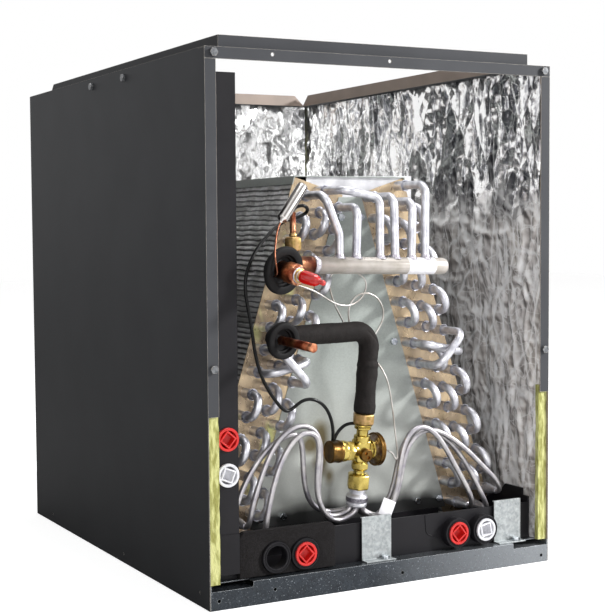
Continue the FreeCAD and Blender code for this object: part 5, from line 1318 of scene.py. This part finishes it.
# The route of each distributor tube from the distributor to its column, as x, depth and height
DISTRIBUTOR_ROUTES = {
    (-1, 0): [
        (-44.6, 38, 66.7), (-64.9, 32, 77.9), (-79.2, 27, 103.6), (-78.2, 24, 137.2),
        (-75.5, 23.5, 159.0), (-80.8, 23.5, 171.6), (-93.3, 23.5, 174.6), (-105.8, 23.5, 169.8),
        (-118.3, 23.5, 155.0), (-128.3, 23.5, 136.3), (-137.6, 25, 104.3), (-142.5, 27, 70.2),
    ],
    (-1, 1): [
        (-54.9, 44.8, 70.1), (-73.1, 36, 96.5), (-71.4, 31, 130.3), (-69.7, 30.5, 156.5),
        (-76.0, 31, 173.9), (-89.8, 31, 181.5), (-106.1, 31, 179.4), (-123.5, 31, 167.6),
        (-137.2, 31, 147.0), (-149.7, 31, 115.6), (-156.4, 32, 94.3),
    ],
    (-1, 2): [
        (-57.8, 51.5, 76.0), (-81.3, 45, 95.8), (-88.5, 39, 130.4), (-89.4, 37.2, 158.5),
        (-96.5, 37.2, 172.5), (-112.8, 37.2, 170.2), (-137.6, 37.2, 154.9), (-156.1, 37.2, 131.5),
        (-170.4, 37, 105.6),
    ],
    (1, 0): [
        (9.7, 34.5, 62.7), (23.4, 30, 81.2), (27.6, 25, 110.4), (29.9, 23.2, 139.0),
        (38.7, 23.2, 161.1), (52.4, 23.2, 170.3), (68.9, 23.2, 168.0), (86.4, 23.2, 150.7),
        (104.4, 23.2, 121.0), (117.8, 24, 100.5), (131.6, 27, 80.1),
    ],
    (1, 1): [
        (9.2, 48.6, 61.5), (26.0, 45, 79.5), (33.3, 40.5, 108.2), (37.0, 37.8, 136.7),
        (47.0, 37.8, 155.1), (62.1, 37.8, 164.3), (81.2, 37.8, 163.1), (109.1, 37.8, 146.9),
        (131.9, 37.8, 118.3), (147.9, 37, 89.8),
    ],
    (1, 2): [
        (14.0, 41.3, 64.1), (30.1, 36.5, 82.1), (36.1, 32, 111.2), (39.5, 30.4, 138.3),
        (50.5, 30.4, 156.0), (67.4, 30.4, 165.0), (88.3, 30.4, 161.9), (121.4, 30.4, 142.0),
        (157.2, 31, 108.2), (173.1, 32, 94.8),
    ],
}
# Degrees round the distributor at which each tube leaves it
DISTRIBUTOR_PORTS = {(-1, 0): 120, (-1, 1): 180, (-1, 2): 240, (1, 0): 60, (1, 1): -60, (1, 2): 0}
# Metres from the distributor's axis to each tube
DISTRIBUTOR_PORT_RADIUS = 0.0076
# The valve's upper end as x, depth and height, its length down to the distributor's face, and its lean in
# degrees, on the way down, to the back and to the right
VALVE_TOP = (-15.5, 29.0, 189.0)
VALVE_LENGTH = 106.5
VALVE_LEAN_BACK, VALVE_LEAN_RIGHT = 7.0, -1.5
# Millimetres that a coned adaptor stands out
ADAPTOR_LENGTH = 22.0


def valve_frame(distance):
    """The valve's own frame: Z down along its axis, X to the right, Y to the front."""
    back, across = (math.tan(math.radians(lean)) for lean in (VALVE_LEAN_BACK, VALVE_LEAN_RIGHT))
    down = Vector((across, back, -1)).normalized()
    right = (Vector((1, 0, 0)) - down * down.x).normalized()
    front = down.cross(right)
    turn = Matrix((right, front, down)).transposed().to_4x4()
    return Matrix.Translation(spot(*VALVE_TOP) + down * (distance / 1000)) @ turn


class COIL_OT_distributor(PieceOperator, bpy.types.Operator):
    """Make the six distributor tubes and the coned adaptors on the lowest tubes"""
    bl_idname = "coil.distributor"
    bl_label = "Distributor tubes"

    def execute(self, context):
        foot = valve_frame(VALVE_LENGTH)
        down = foot.to_3x3() @ Vector((0, 0, 1))
        paths = []
        matrices = []
        for (side, column), route in DISTRIBUTOR_ROUTES.items():
            low = column_tubes(side, column)[-1]
            bell = tube_spot(side, low, column, BELL_PLANE)
            tip = bell + Vector((0, -ADAPTOR_LENGTH / 1000, 0))
            matrices.append(aligned(bell, (0, -1, 0)))
            angle = math.radians(DISTRIBUTOR_PORTS[side, column])
            reach = DISTRIBUTOR_PORT_RADIUS
            start = foot @ Vector((reach * math.cos(angle), reach * math.sin(angle), -0.002))
            path = [start, start + down * 0.004, start + down * 0.008] + [spot(*p) for p in route]
            paths.append(path + [tip - Vector((0, 0.007, 0)), tip, tip + Vector((0, 0.003, 0))])
        thin = tubes("distributor_tubes_finished", paths, length("thin_radius"), "NURBS", 8)
        settle(thin, "thin_tube", "tube_aluminium", "distributor_tubes")
        model = turned("adaptor", [
            (5.0, -2.0), (5.6, 0.0), (5.9, 1.2), (5.9, 3.6), (6.2, 4.4), (6.2, 5.6), (5.7, 6.6), (4.9, 11.0),
            (4.2, 16.5), (3.9, 21.0), (3.7, 22.0), (3.1, 22.2),
        ], 20)
        smooth(model, 45)
        settle(repeated(model, matrices, "coil_adaptors_finished"), "tube", "tube_aluminium", "coil_adaptors")
        return {"FINISHED"}


# The routes of the equaliser and the capillary, and the bulb's two ends, as x, depth and height
EQUALISER_ROUTE = [
    (-107.5, 24, 413.0), (-107.5, 24, 417.0), (-100.0, 21, 421.0), (-91.5, 22, 419.5), (-86.5, 27, 414.0),
    (-92.0, 32, 409.0), (-105.0, 33, 406.0), (-119.5, 30, 402.0), (-135.0, 26, 391.0), (-150.7, 22, 377.8),
    (-164.0, 16, 361.0), (-171.0, 14, 345.0), (-171.5, 13, 328.0), (-167.8, 13, 310.0), (-164.0, 13, 291.2),
    (-161.5, 13, 266.9), (-152.0, 15, 236.9), (-136.3, 19, 215.6), (-123.1, 23, 201.8), (-115.3, 25, 198.0),
    (-107.2, 26, 201.5), (-98.0, 27, 208.0), (-86.4, 27, 211.0), (-71.9, 27, 206.1), (-61.0, 29, 193.9),
    (-55.2, 31, 180.3), (-52.4, 34, 165.6), (-52.0, 38, 153.6), (-49.0, 42, 154.6), (-45.0, 41, 166.2),
    (-37.0, 40, 174.8), (-27.5, 39, 178.2), (-19.0, 36, 177.0), (-14.6, 34, 174.6),
]
CAPILLARY_LEAD = [(-146.5, -9.0, 385.5), (-151.5, -15.0, 368.0), (-149.5, -16.0, 355.0)]
CAPILLARY_ROUTE = [
    (-104.0, 24.0, 335.0), (-75.9, 30.0, 328.5), (-53.4, 38.0, 314.3), (-29.1, 42.0, 306.7),
    (-8.1, 44.0, 314.9), (0.6, 45.0, 331.4), (-5.3, 46.0, 342.8), (-27.7, 46.0, 351.2),
    (-47.8, 45.0, 347.2), (-52.3, 44.0, 335.1), (-45.3, 43.0, 310.5), (-33.1, 44.0, 293.3),
    (-27.4, 47.0, 280.6), (-20.2, 48.0, 280.2), (-24.7, 47.0, 295.1), (-24.6, 45.0, 310.9),
    (-13.3, 44.0, 322.3), (5.3, 44.0, 323.5), (19.9, 44.0, 309.4), (21.9, 44.0, 292.3),
    (11.7, 46.0, 276.7), (2.2, 48.0, 262.2), (4.8, 48.0, 250.7), (14.3, 46.0, 243.0), (25.0, 44.0, 226.0),
    (29.1, 42.0, 205.4), (31.7, 39.0, 171.2), (33.7, 36.0, 142.7), (33.7, 35.0, 131.4),
    (29.0, 35.0, 132.9), (26.3, 36.0, 143.3),
]
BULB_FOOT = (-134.7, 0.0, 404.1)
BULB_TOP = (-101.0, 11.0, 442.7)
# Millimetres from the valve's upper end to the middle of its body
BODY_MIDDLE = 42.0


class COIL_OT_small_tubes(PieceOperator, bpy.types.Operator):
    """Make the black equaliser tube and the thin capillary"""
    bl_idname = "coil.small_tubes"
    bl_label = "Equaliser and capillary"

    def execute(self, context):
        route = [spot(*p) for p in EQUALISER_ROUTE]
        settle(tubes("equaliser_tube_finished", [route], 0.0019, "NURBS", 8), "black_tube", "black_tube",
               "equaliser_tube")
        foot = spot(*BULB_FOOT)
        axis = (spot(*BULB_TOP) - foot).normalized()
        corner, forward = suction_axis()
        centre = corner + forward * SUCTION_GROMMET_PLACE
        across = Vector((0, 0, 1)).cross(forward).normalized()
        # Where the capillary passes the grommet: left of the pipe and a little below its middle
        slit = centre + across * -0.0115 + forward.cross(across) * -0.008
        head = valve_frame(BODY_MIDDLE) @ Vector((0.024, 0, 0))
        lead = [foot + axis * 0.002, foot - axis * 0.008] + [spot(*p) for p in CAPILLARY_LEAD]
        lead += [slit + forward * 0.009, slit - forward * 0.014]
        settle(tubes("capillary_lead", [lead], 0.0009, "NURBS", 6), "lead_copper", "copper", "capillary")
        route = lead[-1:] + [spot(*p) for p in CAPILLARY_ROUTE] + [head]
        settle(tubes("capillary_finished", [route], 0.001, "NURBS", 6), "capillary", "copper", "capillary")
        return {"FINISHED"}


def plug_model(radius, tilt):
    """A drain plug: an outer ring, a deep floor and a square socket that touches the ring at its corners."""
    well = radius - 3.0
    ring = turned("plug", [
        (well, -8.0), (well, 2.6), (well + 0.3, 3.0), (radius - 0.4, 3.0), (radius, 2.6), (radius, 0.0),
        (well + 0.4, 0.0), (well + 0.4, -8.5), (0.2, -8.5),
    ], 40)
    floor = turned("floor", [(well + 0.1, -8.0), (0.2, -8.0)], 40)
    half = well / math.sqrt(2) + 0.3
    wall = 1.7
    bpy.ops.object.select_all(action="DESELECT")
    bpy.ops.mesh.primitive_cube_add(size=2 * half / 1000, location=(0, 0, 0), enter_editmode=True)
    bpy.ops.mesh.select_all(action="SELECT")
    bpy.ops.transform.resize(value=(1, 1, 10.8 / 2 / half))
    bpy.ops.transform.translate(value=(0, 0, -0.0026))
    bpy.ops.object.mode_set(mode="OBJECT")
    socket = bpy.context.object
    bpy.ops.object.mode_set(mode="EDIT")
    bpy.ops.mesh.select_mode(type="FACE")
    bpy.ops.mesh.select_all(action="DESELECT")
    bpy.ops.object.mode_set(mode="OBJECT")
    for face in socket.data.polygons:
        face.select = face.normal.z > 0.9
    bpy.ops.object.mode_set(mode="EDIT")
    bpy.ops.mesh.inset(thickness=wall / 1000)
    bpy.ops.mesh.extrude_region_move(TRANSFORM_OT_translate={"value": (0, 0, -0.0085)})
    bpy.ops.object.mode_set(mode="OBJECT")
    modify(socket, "BEVEL", width=0.00025, segments=2, limit_method="ANGLE")
    socket.data.transform(Matrix.Rotation(math.radians(tilt), 4, "Z"))
    bpy.ops.object.select_all(action="DESELECT")
    for part in (ring, floor, socket):
        part.select_set(True)
    bpy.context.view_layer.objects.active = ring
    bpy.ops.object.join()
    face_outward(ring)
    smooth(ring, 40)
    return ring


# The front ports across the cabinet, their depth and height, and where the side pan's ports stand
PORT_PLACES = (-138.85, -103.75, 97.75, 136.25)
PORT_DEPTH, PORT_HEIGHT = 8.0, 45.5
SIDE_PORT_X, SIDE_PORT_DEPTH = -195.05, 11.0


class COIL_OT_pans(PieceOperator, bpy.types.Operator):
    """Finish both drain pans, the foam block and the drain plugs"""
    bl_idname = "coil.pans"
    bl_label = "Drain pans and plugs"

    def execute(self, context):
        folded("drain_pan", "pan", "pan_plastic", 0.0005)
        folded("side_drain_pan", "pan", "pan_plastic", 0.0006)
        block = folded("port_foam_block", "foam", "foam", 0.0012)
        bpy.ops.object.select_all(action="DESELECT")
        # The notch between the two left ports
        place = spot(-121.3, 12.0, 44.5)
        bpy.ops.mesh.primitive_cube_add(size=1, location=place, scale=(0.009, 0.009, 0.0105))
        neck = context.object
        modify(block, "BOOLEAN", operation="DIFFERENCE", object=neck)
        bpy.data.objects.remove(neck)
        front = (0, -1, 0)
        ports = [spot(x, PORT_DEPTH, PORT_HEIGHT) for x in PORT_PLACES]
        for number, port in enumerate(ports):
            ringed(f"port_rim_{number + 1}", [
                (17.05, -3), (17.1, 0.2), (16.7, 0.9), (15.5, 0.9), (15.1, 0.3), (14.3, 0.3), (14.0, 0.9),
                (12.9, 0.9), (12.45, 0.3), (12.4, -4.5),
            ], aligned(port, front), "pan", "pan_plastic", 48, 35, closed=False)
        seam = [(58.6, 68.9), (59.2, 60), (59.9, 49.5), (63.0, 45.4), (69.0, 43.2), (80.2, 41.2)]
        line = tubes("pan_seam", [[spot(x, 17.4, z) for x, z in seam]], 0.0006, round_sides=4)
        settle(line, "pan", "pan_plastic")
        upper, lower = (spot(SIDE_PORT_X, SIDE_PORT_DEPTH, z) for z in (176.3, 138.6))
        # Each plug's place, its radius in millimetres and the turn of its socket in degrees
        red = [(ports[1], 13.0, 42), (ports[2], 13.0, 38), (upper, 12.5, 50)]
        white = [(ports[3], 13.0, 12), (lower, 12.5, 68)]
        for finish, slot, node, group in (("red", "red_plastic", "red_drain_plugs", red),
                                          ("white", "white_plastic", "white_drain_plugs", white)):
            for number, (place, radius, tilt) in enumerate(group):
                model = plug_model(radius, tilt)
                plug = repeated(model, [aligned(place, front)], f"{finish}_drain_plug_{number + 1}")
                settle(plug, finish, slot, node)
        tag = grid("blank_tag", 6, 6)
        for vertex in tag.data.vertices:
            curl = 0.0012 * math.cos(vertex.co.x * math.pi)
            vertex.co = Vector((vertex.co.x * 0.0175, -curl, vertex.co.y * 0.019))
        tag.data.transform(Matrix.Rotation(math.radians(24), 4, "Y"))
        tag.data.transform(Matrix.Translation(spot(12.5, 25.0, 80.5)))
        modify(tag, "SOLIDIFY", thickness=0.0003)
        settle(tag, "label", "white_plastic")
        return {"FINISHED"}


class COIL_OT_screws(PieceOperator, bpy.types.Operator):
    """Finish the screws"""
    bl_idname = "coil.screws"
    bl_label = "Screws"

    def execute(self, context):
        folded("cabinet_screws", "casing_screw", "screw_steel", 0.0003)
        folded("coil_screws", "screw", "screw_steel", 0.0003)
        return {"FINISHED"}


# Each light's name, place, size and power
LIGHTS = (
    ("front_right_light", (2.5, -1.9, 1.6), 0.4, 150),
    ("front_left_light", (-1.5, -2.9, 1.0), 1.9, 32),
    ("top_light", (0.3, -0.2, 2.2), 1.2, 30),
)
LIGHT_AIM = Vector((0, 0, 0.3))
# How bright the floor is in its own colour, how much it glows to the camera, and the world's fill light
FLOOR_GREY = 0.86
FLOOR_GLOW = 0.78
FILL_LIGHT = 0.14
# The cabinet's footprint in the floor's own coordinates, as axis, middle and half width
FOOTPRINT = (("X", 0.0, 0.215), ("Y", -2.0, 0.272))
# The camera of the photograph, solved from the cabinet, the tube lattice and the ports
CAMERA_PLACE = (-0.812226, -1.5105, 0.393988)
CAMERA_RIGHT = Vector((0.890566, -0.454762, -0.009202))
CAMERA_UP = Vector((0.034455, 0.047273, 0.998288))
CAMERA_AHEAD = Vector((0.453548, 0.889358, -0.057769))
CAMERA_LENS = 78.22
CAMERA_SHIFT = 0.1015


class COIL_OT_stage(PieceOperator, bpy.types.Operator):
    """Make the floor, the lights, the world and the camera"""
    bl_idname = "coil.stage"
    bl_label = "Stage"

    def execute(self, context):
        scene = context.scene
        scene.view_settings.view_transform = "Standard"
        bpy.ops.object.select_all(action="DESELECT")
        bpy.ops.mesh.primitive_plane_add(size=14, location=(0, 2, -0.0005))
        floor = context.object
        floor.name = "floor"
        mat = bpy.data.materials.new("white_paper_floor")
        mat.use_nodes = True
        tree = mat.node_tree
        shader = tree.nodes["Principled BSDF"]
        shader.inputs["Base Color"].default_value = grey(FLOOR_GREY)
        shader.inputs["Roughness"].default_value = 0.9
        shader.inputs["Emission Color"].default_value = grey(1)
        glow = calc(tree, "MULTIPLY", add(tree, "ShaderNodeLightPath").outputs["Is Camera Ray"], FLOOR_GLOW)
        axes = split(tree, own_place(tree))
        # No glow under the cabinet, where it would show through the holes of the base.
        beyond = []
        for axis, middle, half in FOOTPRINT:
            away = calc(tree, "ABSOLUTE", calc(tree, "SUBTRACT", axes[axis], middle))
            beyond.append(calc(tree, "GREATER_THAN", away, half))
        glow = calc(tree, "MULTIPLY", glow, calc(tree, "MAXIMUM", *beyond))
        tree.links.new(glow, shader.inputs["Emission Strength"])
        floor.data.materials.append(mat)
        world = bpy.data.worlds.new("studio")
        scene.world = world
        world.use_nodes = True
        tree = world.node_tree
        back = tree.nodes["Background"]
        rays = add(tree, "ShaderNodeLightPath").outputs
        either = calc(tree, "MAXIMUM", rays["Is Camera Ray"], rays["Is Transmission Ray"])
        either = calc(tree, "MAXIMUM", either, rays["Is Glossy Ray"])
        tree.links.new(remap(tree, either, (0.0, 1.0), (FILL_LIGHT, 1.0)), back.inputs["Strength"])
        back.inputs["Color"].default_value = grey(1)
        for name, place, size, power in LIGHTS:
            lamp = bpy.data.lights.new(name, "AREA")
            lamp.size = size
            lamp.energy = power
            holder = bpy.data.objects.new(name, lamp)
            holder.location = place
            aim = LIGHT_AIM - Vector(place)
            holder.rotation_euler = aim.to_track_quat("-Z", "Y").to_euler()
            scene.collection.objects.link(holder)
        camera = bpy.data.cameras.new("photo_camera")
        camera.sensor_width = 36.0
        camera.lens = CAMERA_LENS
        camera.shift_x = CAMERA_SHIFT
        camera.clip_end = 50
        holder = bpy.data.objects.new("photo_camera", camera)
        turn = Matrix((CAMERA_RIGHT, CAMERA_UP, -CAMERA_AHEAD)).transposed().to_4x4()
        holder.matrix_world = Matrix.Translation(CAMERA_PLACE) @ turn
        scene.collection.objects.link(holder)
        scene.camera = holder
        return {"FINISHED"}


OPERATORS = [
    COIL_OT_cabinet, COIL_OT_base, COIL_OT_lining, COIL_OT_fins, COIL_OT_plates, COIL_OT_bends,
    COIL_OT_header, COIL_OT_suction, COIL_OT_liquid, COIL_OT_valve, COIL_OT_distributor,
    COIL_OT_small_tubes, COIL_OT_pans, COIL_OT_screws, COIL_OT_stage,
]


class COIL_PT_panel(bpy.types.Panel):
    """Lists the coil's pieces, sizes and colours"""
    bl_idname = "COIL_PT_panel"
    bl_label = "Evaporator coil"
    bl_space_type = "VIEW_3D"
    bl_region_type = "UI"
    bl_category = "Coil"

    def draw(self, context):
        for operator in OPERATORS:
            self.layout.operator(operator.bl_idname)
        for group in (context.scene.coil_sizes, context.scene.coil_colours):
            column = self.layout.column()
            for name in group.__annotations__:
                column.prop(group, name)


CLASSES = [CoilColours, CoilSizes, *OPERATORS, COIL_PT_panel]


def register():
    for item in CLASSES:
        bpy.utils.register_class(item)
    bpy.types.Scene.coil_colours = bpy.props.PointerProperty(type=CoilColours)
    bpy.types.Scene.coil_sizes = bpy.props.PointerProperty(type=CoilSizes)


def unregister():
    del bpy.types.Scene.coil_sizes
    del bpy.types.Scene.coil_colours
    for item in reversed(CLASSES):
        bpy.utils.unregister_class(item)


def main():
    """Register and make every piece."""
    register()
    make_finishes()
    for operator in OPERATORS:
        group, name = operator.bl_idname.split(".")
        getattr(getattr(bpy.ops, group), name)()


if __name__ == "__main__":
    main()
